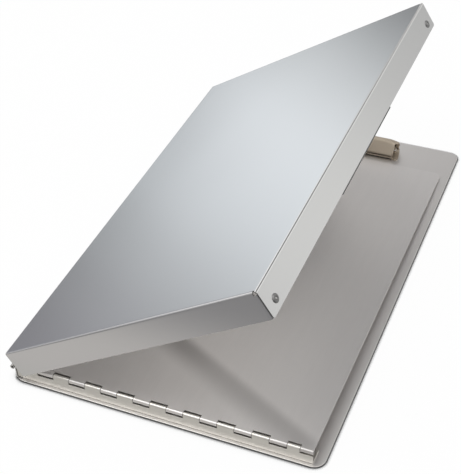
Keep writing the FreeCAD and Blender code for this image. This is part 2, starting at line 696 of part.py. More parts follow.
def clip_notch(owner, left, right, low, high, name):
    """Cut a clip leaf back where the other leaf's knuckle or the spring lies."""
    cut = sketch_on(owner, "XZ_Plane", f"{name}_sketch")
    rectangle(cut, left, low, right, high)
    return pocket(owner, cut, "2 * clip_notch_reach", name, middle=True)


def make_clip_jaw():
    """Bent channel with a sloping front, a short top and a back rolled about the pin."""
    jaw = body("clip_jaw")
    section = sketch_on(jaw, "YZ_Plane", "jaw_section")
    outline(section, [("clip_front", "0"), ("clip_barrel", "0"), ("clip_barrel", "clip_top"),
                      ("clip_front + clip_slope_run", "clip_top")])
    block = pad(jaw, section, "clip_length", "jaw_block", middle=True)
    top = amount("clip_top")
    soft = round_edges(jaw, block, "clip_bend", "jaw_bends",
                       lambda middle, run: along(run, 0) and close(middle.z, top))
    half = amount("clip_length / 2")
    opened = [f"Face{number}" for number, face in enumerate(soft.Shape.Faces, start=1)
              if close(face.CenterOfMass.z, 0) or close(abs(face.CenterOfMass.x), half)]
    shell = jaw.newObject("PartDesign::Thickness", "jaw_shell")
    shell.Base = (soft, opened)
    shell.Join = "Intersection"
    shell.Reversed = True
    bind(shell, Value="clip_sheet")
    document.recompute()
    lip = sketch_on(jaw, "YZ_Plane", "jaw_lip_section")
    outline(lip, [("clip_front", "clip_jaw_bottom"), ("clip_front + clip_sheet", "clip_jaw_bottom"),
                  ("clip_front + clip_sheet", "0"), ("clip_front", "0")])
    pad(jaw, lip, "clip_length", "jaw_lip", middle=True)
    clip_barrel(jaw, "jaw")
    inner_end = "(clip_length / 2 - clip_end_knuckle)"
    clip_notch(jaw, f"-{inner_end}", inner_end, "-clip_notch_reach", "clip_notch_reach", "jaw_notch")
    return place_clip(jaw)


def make_clip_base():
    """Foot on the base plate with a raised front lip and a back rolled about the pin."""
    foot = body("clip_base")
    floor = "-clip_pin_height"
    strip(foot, "YZ_Plane", "clip_length", "clip_front", floor, "-clip_barrel + clip_sheet",
          "clip_foot_top", "foot")
    strip(foot, "YZ_Plane", "clip_length", "clip_front", floor, "clip_front + clip_sheet",
          "clip_lip_height - clip_pin_height", "lip")
    strip(foot, "YZ_Plane", "clip_length", "-clip_barrel", floor, "-clip_barrel + clip_sheet", "0",
          "upright")
    clip_barrel(foot, "base")
    low = "-clip_notch_reach"
    high = "clip_notch_reach"
    end = "clip_length / 2"
    for sign in ("-", "+"):
        clip_notch(foot, f"{sign} ({end} - clip_end_knuckle - knuckle_gap)", f"{sign} ({end} + overrun)",
                   low, high, f"{'left' if sign == '-' else 'right'}_notch")
    clip_notch(foot, "-spring_zone / 2", "spring_zone / 2", low, high, "spring_notch")
    hole_row(foot, "XY_Plane", floor, "clip_sheet + overrun", "leaf_rivet_radius + rivet_play",
             f"{CLIP_RIVET_X} - near_middle_x", f"{CLIP_RIVET_Y} - clip_pin_y", "X_Axis",
             "clip_rivet_spacing", CLIP_RIVETS, "rivet_holes", reverse=True)
    return place_clip(foot)


def make_clip_rivets():
    """Rivets that hold the clip's foot to the base plate."""
    row = rivet_row("clip_rivets", "clip_sheet + base_sheet - rivet_recess", "X_Axis",
                    "clip_rivet_spacing", CLIP_RIVETS)
    place(row, CLIP_RIVET_X, CLIP_RIVET_Y, "base_sheet + clip_sheet")
    return row


def make_clip_spring():
    """Torsion spring about the middle of the pin, with a leg up the back and a leg to the foot."""
    coil = document.addObject("Part::Helix", "spring_coil")
    turns = "floor((spring_zone - 2 * spring_wire - 2 * knuckle_gap) / coil_spacing)"
    bind(coil, Pitch="coil_spacing", Height=f"coil_spacing * {turns}", Radius="spring_coil_radius")
    wire = document.addObject("Part::Circle", "spring_wire_section")
    bind(wire, Radius="spring_wire")
    wire.Placement = Placement(Vector(), Rotation(Vector(1, 0, 0), 90))
    bind(wire, Placement__Base__x="spring_coil_radius")
    document.recompute()
    turned = document.addObject("Part::Sweep", "spring_turns")
    turned.Sections = [wire]
    turned.Spine = (coil, ["Edge1"])
    turned.Solid = True
    turned.Frenet = True
    legs = []
    for number, height in enumerate(("0", f"coil_spacing * {turns}")):
        leg = document.addObject("Part::Cylinder", f"spring_leg_{number}")
        bind(leg, Radius="spring_wire", Height="spring_leg")
        leg.Placement = Placement(Vector(), Rotation(Vector(1, 0, 0), 90 if number == 0 else -90))
        bind(leg, Placement__Base__x="spring_coil_radius", Placement__Base__z=height)
        legs.append(leg)
    spring = document.addObject("Part::MultiFuse", "clip_spring")
    spring.Label = "clip_spring"
    spring.Shapes = [turned, *legs]
    spring.Placement = Placement(Vector(), Rotation(Vector(0, 1, 0), 90))
    bind(spring, Placement__Base__x=f"near_middle_x - coil_spacing * {turns} / 2",
         Placement__Base__y="clip_pin_y", Placement__Base__z="clip_pin_z")
    return spring


def build():
    """Build every sub-part and give back the objects that are pieces of the real thing."""
    fill_sheets()
    make_base_plate()
    make_near_hinge_leaf()
    make_writing_plate()
    make_pin("near_hinge_pin", "pin_radius", "near_hinge_length", "near_middle_x", "near_pin_y",
             "near_pin_height", along_x=True)
    make_side_base_leaf()
    make_side_cover_leaf()
    make_pin("side_hinge_pin", "pin_radius", "side_hinge_length", "side_pin_x", "cover_middle_y",
             "side_pin_height", along_x=False)
    make_leaf_rivets()
    make_cover_leaf_rivets()
    make_cover_pan()
    make_corner_rivets()
    make_latch_strip()
    make_clip_base()
    make_clip_jaw()
    make_pin("clip_pin", "clip_pin_radius", "clip_length", "near_middle_x", "clip_pin_y",
             "clip_pin_z", along_x=True)
    make_clip_rivets()
    make_clip_spring()
    document.recompute()
    return [item for item in document.Objects if item.Label in SUB_PARTS]


SUB_PARTS = (
    "base_plate", "near_hinge_leaf", "near_hinge_rivets", "near_hinge_pin", "writing_plate",
    "side_base_leaf", "side_base_rivets", "side_hinge_pin", "side_cover_leaf", "side_cover_rivets",
    "cover_pan", "corner_rivets", "latch_strip",
    "clip_base", "clip_rivets", "clip_pin", "clip_spring", "clip_jaw",
)


def check(items):
    """Stop if an object failed or a sub-part is missing, empty or not valid."""
    failed = [item.Label for item in document.Objects if {"Invalid", "Error"} & set(item.State)]
    if failed:
        sys.exit(f"failed objects: {failed}")
    missing = set(SUB_PARTS) - {item.Label for item in items}
    if missing:
        sys.exit(f"missing sub-parts: {sorted(missing)}")
    for item in items:
        if item.Shape.isNull() or not item.Shape.isValid() or not item.Shape.Solids:
            sys.exit(f"{item.Label} has no valid solid")


def write(items):
    """Write each sub-part to a file named after its node."""
    os.makedirs("parts", exist_ok=True)
    for item in items:
        item.Shape.exportStep(f"parts/{item.Label}.step")
        print(f"{item.Label}: {len(item.Shape.Solids)} solids, {item.Shape.Volume:.1f} cubic millimetres")


pieces = build()
check(pieces)
write(pieces)
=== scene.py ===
"""Studio scene of the storage clipboard: its sheet-metal pieces, their finishes, the light and the camera.

Sizes in the classes are millimetres in the part's own frame, and meshes are made in metres.
"""

import logging
import math
from dataclasses import dataclass, field
from enum import Enum
from typing import Callable, Iterable, Optional, Sequence

import bmesh
import bpy
from mathutils import Matrix, Vector


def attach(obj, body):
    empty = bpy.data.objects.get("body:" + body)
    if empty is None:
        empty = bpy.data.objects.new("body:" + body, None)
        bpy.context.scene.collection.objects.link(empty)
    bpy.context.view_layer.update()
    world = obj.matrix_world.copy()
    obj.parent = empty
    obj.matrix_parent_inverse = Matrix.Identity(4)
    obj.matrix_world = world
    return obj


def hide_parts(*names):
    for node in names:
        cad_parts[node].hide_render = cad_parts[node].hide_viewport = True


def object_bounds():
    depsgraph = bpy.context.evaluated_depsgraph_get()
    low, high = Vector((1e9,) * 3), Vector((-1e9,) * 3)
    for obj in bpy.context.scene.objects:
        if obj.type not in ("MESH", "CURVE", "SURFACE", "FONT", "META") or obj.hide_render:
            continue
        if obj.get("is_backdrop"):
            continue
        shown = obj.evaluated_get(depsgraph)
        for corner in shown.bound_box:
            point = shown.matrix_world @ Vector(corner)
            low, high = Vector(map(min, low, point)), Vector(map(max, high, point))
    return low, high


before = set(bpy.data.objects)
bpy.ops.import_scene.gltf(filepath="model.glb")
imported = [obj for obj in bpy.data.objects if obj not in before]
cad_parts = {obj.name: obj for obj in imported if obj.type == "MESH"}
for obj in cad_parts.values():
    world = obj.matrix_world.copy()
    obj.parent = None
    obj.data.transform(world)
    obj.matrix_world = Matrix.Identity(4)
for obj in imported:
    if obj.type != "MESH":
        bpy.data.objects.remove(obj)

LOG = logging.getLogger("storage_clipboard")
MM = 0.001
# Points of a mesh closer than this, in metres, become one.
MERGE = 1e-7
# Millimetres that count as none.
TINY = 1e-6

Point = tuple[float, float]
Colour = tuple[float, float, float]
Section = Callable[[float], Sequence[Point]]
Place = Callable[[float, Point], Vector]
Socket = bpy.types.NodeSocket
Mesh = bmesh.types.BMesh

# Turns that bring an axis from +Z to another direction.
TO_RIGHT = Matrix.Rotation(math.radians(90), 4, "Y")
TO_LEFT = Matrix.Rotation(math.radians(-90), 4, "Y")
TO_BACK = Matrix.Rotation(math.radians(-90), 4, "X")


class Body(Enum):
    """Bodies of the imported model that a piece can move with."""

    BASE = "base"
    COVER = "cover"
    PLATE = "plate"
    JAW = "jaw"


class Grain(Enum):
    """Direction of a sheet's rolling or brushing marks, as a stretch of its coordinates."""

    ALONG_X = (0.02, 1.0, 1.0)
    ALONG_Y = (1.0, 0.02, 1.0)
    EVEN = (1.0, 1.0, 1.0)


class Knuckles(Enum):
    """Which knuckles of a hinge a leaf holds, counted from the hinge's start."""

    ODD = 0
    EVEN = 1


# Node trees

# Numbers of the mix node's sockets that carry colours.
MIX_COLOURS = (6, 7)
MIX_RESULT = 2


@dataclass
class Wiring:
    """Adds nodes to a node tree and joins their sockets.

    Attributes:
        tree: The node tree that is built.
    """

    tree: bpy.types.NodeTree

    def node(self, kind: str, **settings: object) -> bpy.types.Node:
        """Add a node.

        Args:
            kind: Blender's name of the node's type.
            **settings: Properties of the node.

        Returns:
            The new node.
        """
        made = self.tree.nodes.new(kind)
        for name, value in settings.items():
            setattr(made, name, value)
        return made

    def feed(self, socket: bpy.types.NodeSocket, value: object) -> None:
        """Join a socket to another one, or set its constant.

        Args:
            socket: The input socket.
            value: An output socket, or the constant.
        """
        if isinstance(value, bpy.types.NodeSocket):
            self.tree.links.new(value, socket)
        else:
            socket.default_value = value

    def math(self, operation: str, *values: object, clamp: bool = False) -> Socket:
        """Work with numbers.

        Args:
            operation: Blender's name of the operation.
            *values: Sockets or constants.
            clamp: Keep the result between 0 and 1.

        Returns:
            The result's socket.
        """
        made = self.node("ShaderNodeMath", operation=operation, use_clamp=clamp)
        for socket, value in zip(made.inputs, values):
            self.feed(socket, value)
        return made.outputs[0]

    def vector(self, operation: str, *values: object) -> Socket:
        """Work with vectors.

        Args:
            operation: Blender's name of the operation.
            *values: Sockets or constants.

        Returns:
            The result's socket, a number for DOT_PRODUCT and LENGTH.
        """
        made = self.node("ShaderNodeVectorMath", operation=operation)
        for socket, value in zip(made.inputs, values):
            self.feed(socket, value)
        return made.outputs["Value" if operation in {"DOT_PRODUCT", "LENGTH"} else "Vector"]

    def between(self, value: object, low: object, high: object, to_low: object = 0.0,
                to_high: object = 1.0) -> Socket:
        """Bring a number softly from one span to another.

        Args:
            value: The number's socket.
            low: Start of its span.
            high: End of its span.
            to_low: What the start becomes.
            to_high: What the end becomes.

        Returns:
            The result's socket.
        """
        made = self.node("ShaderNodeMapRange", interpolation_type="SMOOTHSTEP")
        for socket, given in zip(made.inputs, (value, low, high, to_low, to_high)):
            self.feed(socket, given)
        return made.outputs[0]

    def mix(self, factor: object, first: object, second: object) -> Socket:
        """Mix two colours.

        Args:
            factor: Share of the second colour.
            first: Colour at 0, as a socket or as red, green and blue.
            second: Colour at 1, likewise.

        Returns:
            The mixed colour's socket.
        """
        made = self.node("ShaderNodeMix", data_type="RGBA")
        self.feed(made.inputs[0], factor)
        for number, colour in zip(MIX_COLOURS, (first, second)):
            self.feed(made.inputs[number], (*colour, 1.0) if isinstance(colour, tuple) else colour)
        return made.outputs[MIX_RESULT]

    def product(self, first: Socket, *others: object) -> Socket:
        """Multiply numbers.

        Args:
            first: Socket of the first number.
            *others: Sockets or constants.

        Returns:
            The product's socket.
        """
        made = first
        for other in others:
            made = self.math("MULTIPLY", made, other)
        return made

    def parts(self, vector: Socket) -> tuple[Socket, ...]:
        """Take a vector apart.

        Args:
            vector: The vector's socket.

        Returns:
            The sockets of its X, Y and Z.
        """
        made = self.node("ShaderNodeSeparateXYZ")
        self.feed(made.inputs[0], vector)
        return tuple(made.outputs)

    def noise(self, vector: object, scale: object, detail: float = 2.0,
              roughness: float = 0.5) -> Socket:
        """Add soft noise between 0 and 1.

        Args:
            vector: Coordinates' socket.
            scale: How many blotches to a metre.
            detail: Number of finer layers.
            roughness: Strength of the finer layers.

        Returns:
            The noise's socket.
        """
        made = self.node("ShaderNodeTexNoise")
        self.feed(made.inputs["Vector"], vector)
        self.feed(made.inputs["Scale"], scale)
        made.inputs["Detail"].default_value = detail
        made.inputs["Roughness"].default_value = roughness
        return made.outputs["Fac"]

    def group(self, tree: bpy.types.NodeTree, **values: object) -> bpy.types.Node:
        """Place a shared group.

        Args:
            tree: The group.
            **values: Its inputs by name, with underscores for blanks.

        Returns:
            The group's node.
        """
        made = self.node("ShaderNodeGroup")
        made.node_tree = tree
        for name, value in values.items():
            self.feed(made.inputs[name.replace("_", " ")], value)
        return made

    def blend(self, factor: object, first: bpy.types.Node, second: bpy.types.Node) -> bpy.types.Node:
        """Blend two shaders.

        Args:
            factor: Share of the second shader.
            first: Shader at 0.
            second: Shader at 1.

        Returns:
            The blending node.
        """
        made = self.node("ShaderNodeMixShader")
        for socket, value in zip(made.inputs, (factor, first.outputs[0], second.outputs[0])):
            self.feed(socket, value)
        return made

    def show(self, shader: bpy.types.Node, output: str = "ShaderNodeOutputMaterial") -> None:
        """Send a shader to the tree's output."""
        self.feed(self.node(output).inputs["Surface"], shader.outputs[0])


def open_group(name: str, inputs: Sequence[tuple[str, str]],
               outputs: Sequence[tuple[str, str]]) -> tuple[Wiring, bpy.types.Node, bpy.types.Node]:
    """Start a node group.

    Args:
        name: The group's name.
        inputs: Names and kinds of its inputs.
        outputs: Names and kinds of its outputs.

    Returns:
        Its wiring, its input node and its output node.
    """
    tree = bpy.data.node_groups.new(name, "ShaderNodeTree")
    for way, sockets in (("INPUT", inputs), ("OUTPUT", outputs)):
        for label, kind in sockets:
            tree.interface.new_socket(name=label, in_out=way, socket_type=f"NodeSocket{kind}")
    wiring = Wiring(tree)
    return wiring, wiring.node("NodeGroupInput"), wiring.node("NodeGroupOutput")


class Effects:
    """The surface effects that several finishes share, each a node group that is built once."""

    # Rolling marks: fineness of the broad streaks as a share, and how much the fine ones count.
    BROAD_SHARE = 0.13
    FINE_SHARE = 0.7
    # Hairlines: a turn in radians and a stretch, low along the lines, for each of two directions.
    HAIRLINES = ((0.42, (26.0, 900.0, 500.0)), (-0.95, (900.0, 18.0, 500.0)))
    HAIRLINE_SPAN = (0.70, 0.78)
    # Burnished edges: how far the normal bends there, and the noise that breaks them up.
    EDGE_SPAN = (0.02, 0.22)
    BREAKS = 320.0
    BREAK_SPANS = (0.30, 0.62, 0.35, 1.0)
    # Painted crevice shade: openness of a slot where the shade is full and where it ends, and its strengths
    # there.
    SLOT_SPANS = (0.24, 0.60, 1.0, 0.0)

    def __init__(self) -> None:
        """Build the groups."""
        self.grain = self._grain()
        self.clouds = self._clouds()
        self.scratches = self._scratches()
        self.wear = self._wear()
        self.crevice_shade = self._painted_crevice_shade()

    def _grain(self) -> bpy.types.NodeTree:
        """Rolling marks: long fine streaks over broader ones.

        Returns:
            The group.
        """
        wiring, given, out = open_group(
            "Rolled grain", [("Vector", "Vector"), ("Stretch", "Vector"), ("Fineness", "Float")],
            [("Streaks", "Float")])
        along = wiring.vector("MULTIPLY", given.outputs["Vector"], given.outputs["Stretch"])
        fineness = given.outputs["Fineness"]
        fine = wiring.noise(along, fineness, 3.0, 0.65)
        broad = wiring.noise(along, wiring.math("MULTIPLY", fineness, self.BROAD_SHARE), 2.0)
        streaks = wiring.math("ADD", wiring.math("MULTIPLY", fine, self.FINE_SHARE),
                              wiring.math("MULTIPLY", broad, 1 - self.FINE_SHARE))
        wiring.feed(out.inputs["Streaks"], streaks)
        return wiring.tree

    def _clouds(self) -> bpy.types.NodeTree:
        """Large soft patches where the sheet's sheen changes.

        Returns:
            The group.
        """
        wiring, given, out = open_group(
            "Sheen patches", [("Vector", "Vector"), ("Patches", "Float"), ("Depth", "Float")],
            [("Value", "Float")])
        soft = wiring.noise(given.outputs["Vector"], given.outputs["Patches"], 2.0, 0.45)
        centred = wiring.math("SUBTRACT", soft, 0.5)
        wiring.feed(out.inputs["Value"], wiring.math("MULTIPLY", centred, given.outputs["Depth"]))
        return wiring.tree

    def _scratches(self) -> bpy.types.NodeTree:
        """Sparse hairlines from handling, in two directions.

        Returns:
            The group.
        """
        wiring, given, out = open_group(
            "Handling hairlines", [("Vector", "Vector"), ("Amount", "Float")], [("Mask", "Float")])
        masks = []
        for turn, stretch in self.HAIRLINES:
            turned = wiring.node("ShaderNodeVectorRotate", rotation_type="Z_AXIS")
            wiring.feed(turned.inputs["Vector"], given.outputs["Vector"])
            turned.inputs["Angle"].default_value = turn
            line = wiring.noise(wiring.vector("MULTIPLY", turned.outputs[0], stretch), 1.0, 1.0)
            masks.append(wiring.between(line, *self.HAIRLINE_SPAN))
        found = wiring.math("MAXIMUM", *masks)
        wiring.feed(out.inputs["Mask"], wiring.math("MULTIPLY", found, given.outputs["Amount"]))
        return wiring.tree

    def _wear(self) -> bpy.types.NodeTree:
        """Burnished edges, broken up by noise.

        Returns:
            The group.
        """
        wiring, given, out = open_group(
            "Burnished edges", [("Vector", "Vector"), ("Radius", "Float")], [("Mask", "Float")])
        rounded = wiring.node("ShaderNodeBevel", samples=4)
        wiring.feed(rounded.inputs["Radius"], given.outputs["Radius"])
        true = wiring.node("ShaderNodeNewGeometry").outputs["Normal"]
        bent = wiring.math("SUBTRACT", 1.0, wiring.vector("DOT_PRODUCT", rounded.outputs[0], true))
        broken = wiring.noise(given.outputs["Vector"], self.BREAKS, 2.0)
        wiring.feed(out.inputs["Mask"], wiring.product(wiring.between(bent, *self.EDGE_SPAN),
                                                       wiring.between(broken, *self.BREAK_SPANS)))
        return wiring.tree

    def _painted_crevice_shade(self) -> bpy.types.NodeTree:
        """Painted shade, darkest in slots and creases.

        Returns:
            The group.
        """
        wiring, given, out = open_group("Painted crevice shade", [("Reach", "Float")], [("Mask", "Float")])
        # Painted shade: the less open a spot is, the darker it is painted.
        close = wiring.node("ShaderNodeAmbientOcclusion", samples=6)
        wiring.feed(close.inputs["Distance"], given.outputs["Reach"])
        wiring.feed(out.inputs["Mask"], wiring.between(close.outputs["AO"], *self.SLOT_SPANS))
        return wiring.tree


# Finishes

# Colours that cover a metal's own in places: painted crevice shade, painted shade on cut edges, and a painted
# darker band that stands for a reflection.
CREVICE_SHADE_COLOUR = (0.010, 0.009, 0.009)
SHADED_SHEAR_COLOUR = (0.03, 0.03, 0.03)
BAND_REFLECTION_COLOUR = (0.33, 0.315, 0.31)
# How far a rubbed edge's colour goes towards white.
RUBBED_SHARE = 0.35
# How much of the normal points up or down, from a sheet's cut edge to its face.
FACE_SPAN = (0.45, 0.85)
# Millimetres over which the painted crevice shade comes in above the height kept free of it.
SHADE_START = 1.5
# Patches of changing sheen to a metre.
SHEEN_PATCHES = 9.0
# How much more matt a hairline is.
HAIRLINE_SHEEN = 0.10


@dataclass(frozen=True)
class ReflectionBand:
    """A painted darker band across a sheet, beside a line, that stands for a reflection.

    Attributes:
        start: One end of the line, in millimetres.
        end: Its other end.
        left: Distances in millimetres between which it fades out on the line's left.
        right: The same on the line's right.
        lead_in: Shares of the line's length over which it appears.
        lead_out: Shares over which it weakens, and its strengths there.
        strength: Shares over which its strength changes, and its strengths there.
    """

    start: Point
    end: Point
    left: Point = (0.5, 10.5)
    right: Point = (1.0, 21.0)
    lead_in: Point = (-0.55, -0.25)
    lead_out: tuple[float, ...] = (0.95, 1.2, 1.0, 0.3)
    strength: tuple[float, ...] = (-0.05, 0.35, 0.64, 0.43)

    def mask(self, wiring: Wiring, spot: Socket) -> Socket:
        """Work out where the painted band lies.

        Args:
            wiring: The material's wiring.
            spot: The piece's coordinates.

        Returns:
            The mask's socket.
        """
        start, end = (Vector((*point, 0.0)) * MM for point in (self.start, self.end))
        ahead = end - start
        sideways = Vector((-ahead.y, ahead.x, 0.0)).normalized()
        from_start = wiring.vector("SUBTRACT", spot, start)
        along = wiring.vector("DOT_PRODUCT", from_start, ahead / ahead.length_squared)
        across = wiring.vector("DOT_PRODUCT", from_start, sideways)
        left = wiring.between(across, *(edge * MM for edge in self.left), 1.0, 0.0)
        right = wiring.between(across, *(-edge * MM for edge in self.right), 1.0, 0.0)
        return wiring.product(left, right, wiring.between(along, *self.lead_in),
                              wiring.between(along, *self.lead_out),
                              wiring.between(along, *self.strength))


@dataclass(frozen=True)
class MetalFinish:
    """Finish of a bare metal piece.

    Attributes:
        name: Name of the material.
        slot: The record's material slot; it is not used.
        colour: Colour that the metal reflects.
        roughness: How matt it is.
        grain: Direction of its rolling or brushing marks.
        fineness: Streaks to a metre across the grain.
        streak_depth: Share by which the streaks change the colour.
        streak_sheen: By how much they change the roughness.
        bump: Height of the streaks in millimetres.
        cloud_sheen: By how much large patches change the roughness.
        hairlines: Strength of the handling marks.
        burnish: Strength of the lighter edges.
        cut_edge_shade: Darkness of a flat sheet's cut edges: their own duller tone, deepened with painted
            shade.
        crevice_shade: Reach in millimetres of the painted shade in its slots and creases.
        unshaded_below: Height in millimetres under which no crevice shade is painted.
        reflection_band: A painted darker band across the sheet that stands for a reflection.
        rub_radius: Reach in millimetres of the rubbing along its edges.
    """

    name: str
    slot: str
    colour: Colour
    roughness: float
    grain: Grain
    fineness: float = 1600.0
    streak_depth: float = 0.05
    streak_sheen: float = 0.06
    bump: float = 0.0012
    cloud_sheen: float = 0.05
    hairlines: float = 0.4
    burnish: float = 0.35
    cut_edge_shade: float = 0.0
    crevice_shade: float = 1.1
    unshaded_below: float = 0.0
    reflection_band: Optional[ReflectionBand] = None
    rub_radius: float = 0.45

    def material(self, effects: Effects) -> bpy.types.Material:
        """Make the finish's material.

        Args:
            effects: The shared groups.

        Returns:
            The material.
        """
        made = bpy.data.materials.new(self.name)
        made.use_nodes = True
        made.node_tree.nodes.clear()
        wiring = Wiring(made.node_tree)
        spot = wiring.node("ShaderNodeTexCoord").outputs["Object"]
        grain = wiring.group(effects.grain, Vector=spot, Stretch=self.grain.value, Fineness=self.fineness)
        streaks = grain.outputs["Streaks"]

        bump = wiring.node("ShaderNodeBump")
        bump.inputs["Strength"].default_value = 1.0
        bump.inputs["Distance"].default_value = self.bump * MM
        wiring.feed(bump.inputs["Height"], streaks)

        shader = wiring.node("ShaderNodeBsdfPrincipled")
        shader.inputs["Metallic"].default_value = 1.0
        wiring.feed(shader.inputs["Base Color"], self._shown_colour(wiring, effects, spot, streaks))
        wiring.feed(shader.inputs["Roughness"], self._shown_roughness(wiring, effects, spot, streaks))
        wiring.feed(shader.inputs["Normal"], bump.outputs[0])
        wiring.show(shader)
        made.diffuse_color = (*self.colour, 1.0)
        return made

    def _shown_colour(self, wiring: Wiring, effects: Effects, spot: Socket, streaks: Socket) -> Socket:
        """Lay the streaks, the rubbed edges, the painted shade of cut edges, the painted darker band and the
        painted crevice shade over the metal's colour.

        Args:
            wiring: The material's wiring.
            effects: The shared groups.
            spot: The piece's coordinates.
            streaks: The rolling marks.

        Returns:
            The colour's socket.
        """
        wear = wiring.group(effects.wear, Vector=spot, Radius=self.rub_radius * MM)
        dark = tuple(part * (1 - self.streak_depth) for part in self.colour)
        light = tuple(min(part * (1 + self.streak_depth), 1.0) for part in self.colour)
        rubbed = tuple(part + (1 - part) * RUBBED_SHARE for part in self.colour)
        shown = wiring.mix(streaks, dark, light)
        shown = wiring.mix(wiring.math("MULTIPLY", wear.outputs["Mask"], self.burnish), shown, rubbed)
        # Painted shade on a flat sheet's cut edges, over their own duller tone.
        if self.cut_edge_shade:
            normal = wiring.node("ShaderNodeTexCoord").outputs["Normal"]
            flat = wiring.between(wiring.math("ABSOLUTE", wiring.parts(normal)[2]), *FACE_SPAN)
            cut = wiring.math("MULTIPLY", wiring.math("SUBTRACT", 1.0, flat), self.cut_edge_shade)
            shown = wiring.mix(cut, shown, SHADED_SHEAR_COLOUR)
        # Painted reflection: a darker band across the sheet.
        if self.reflection_band:
            shown = wiring.mix(self.reflection_band.mask(wiring, spot), shown, BAND_REFLECTION_COLOUR)
        # Painted shade in slots and creases, left off below the height kept free of it.
        painted_shade = wiring.group(effects.crevice_shade, Reach=self.crevice_shade * MM).outputs["Mask"]
        if self.unshaded_below:
            painted_shade = wiring.product(painted_shade, wiring.between(wiring.parts(spot)[2], self.unshaded_below * MM,
                                                       (self.unshaded_below + SHADE_START) * MM))
        return wiring.mix(painted_shade, shown, CREVICE_SHADE_COLOUR)

    def _shown_roughness(self, wiring: Wiring, effects: Effects, spot: Socket, streaks: Socket) -> Socket:
        """Change the roughness with the streaks, the large patches and the hairlines.

        Args:
            wiring: The material's wiring.
            effects: The shared groups.
            spot: The piece's coordinates.
            streaks: The rolling marks.

        Returns:
            The roughness's socket.
        """
        clouds = wiring.group(effects.clouds, Vector=spot, Patches=SHEEN_PATCHES, Depth=self.cloud_sheen)
        hairlines = wiring.group(effects.scratches, Vector=spot, Amount=self.hairlines)
        sheen = wiring.math("MULTIPLY", wiring.math("SUBTRACT", streaks, 0.5), self.streak_sheen)
        sheen = wiring.math("ADD", sheen, clouds.outputs["Value"])
        matt = wiring.math("MULTIPLY", hairlines.outputs["Mask"], HAIRLINE_SHEEN)
        return wiring.math("ADD", self.roughness, wiring.math("ADD", sheen, matt), clamp=True)


COVER_SHEET = MetalFinish("satin cover sheet", "cover_aluminium", (0.90, 0.90, 0.90), 0.20, Grain.ALONG_Y,
                          streak_depth=0.02, streak_sheen=0.02, bump=0.0006, cloud_sheen=0.03, hairlines=0.2)
# The base sheet's cut edges carry painted shade over their own duller tone, and its creases painted crevice
# shade.
BASE_SHEET = MetalFinish("rolled base sheet", "sheet_aluminium", (0.86, 0.84, 0.825), 0.42, Grain.ALONG_Y,
                         streak_depth=0.03, bump=0.0005, cut_edge_shade=0.97, crevice_shade=0.3)
# The writing sheet carries a painted darker band that stands for a reflection.
PLATE_SHEET = MetalFinish("rolled writing sheet", "plate_aluminium", (0.89, 0.868, 0.855), 0.42,
                          Grain.ALONG_Y, reflection_band=ReflectionBand((-6.6, -127.2), (104.0, -182.8)))
# No crevice shade is painted on the strip's lowest 4 mm.
HINGE_STRIP = MetalFinish("brushed hinge strip", "hinge_aluminium", (0.84, 0.82, 0.775), 0.33, Grain.ALONG_X,
                          fineness=2600.0, streak_depth=0.09, streak_sheen=0.12, bump=0.0025,
                          unshaded_below=4.0)
# Painted shade: the side hinge is a darker copy of the hinge aluminium.
SHADED_SIDE_HINGE = MetalFinish("shaded side hinge", "hinge_aluminium", (0.70, 0.69, 0.67), 0.33,
                               Grain.ALONG_Y, fineness=2600.0, streak_depth=0.08, streak_sheen=0.10,
                               bump=0.0025)
RIVET_METAL = MetalFinish("headed rivet metal", "rivet_aluminium", (0.64, 0.63, 0.62), 0.30, Grain.EVEN,
                          fineness=3000.0, streak_depth=0.06, burnish=0.6)
# Painted shade: the blind rivets are a much darker copy of the rivet aluminium.
SHADED_BLIND_RIVET = MetalFinish("shaded blind rivet", "rivet_aluminium", (0.30, 0.30, 0.30), 0.42, Grain.EVEN,
                          fineness=3000.0, streak_depth=0.10, burnish=0.2)
MANDREL_METAL = MetalFinish("broken mandrel", "rivet_aluminium", (0.62, 0.62, 0.61), 0.34, Grain.EVEN,
                            fineness=3000.0, streak_depth=0.08, burnish=0.6)
# The cover's cut edges: a duller tone, darkened further as painted shade.
SHADED_CUT_EDGE = MetalFinish("shaded cut edge", "cover_aluminium", (0.16, 0.16, 0.16), 0.45, Grain.EVEN)
LATCH_STEEL = MetalFinish("dark latch steel", "latch_steel", (0.22, 0.22, 0.22), 0.42, Grain.ALONG_Y)
# A long reach of painted crevice shade darkens the clip's open ends and the gap under its front.
CLIP_METAL = MetalFinish("tinted clip sheet", "clip_metal", (0.70, 0.61, 0.50), 0.48, Grain.ALONG_X,
                         streak_depth=0.08, streak_sheen=0.10, crevice_shade=7.0)
# A long reach of painted crevice shade darkens the pins where they sit inside knuckles.
PIN_STEEL = MetalFinish("drawn pin wire", "pin_steel", (0.58, 0.58, 0.57), 0.28, Grain.EVEN, crevice_shade=5.0)
# Painted shade: the clip's axle is a near-black copy of the pin steel, so it reads as shade inside the
# knuckles.
SHADED_CLIP_AXLE = MetalFinish("shaded clip axle", "pin_steel", (0.07, 0.07, 0.07), 0.38, Grain.EVEN, crevice_shade=5.0)
SPRING_STEEL = MetalFinish("drawn spring wire", "spring_steel", (0.48, 0.48, 0.49), 0.30, Grain.EVEN)


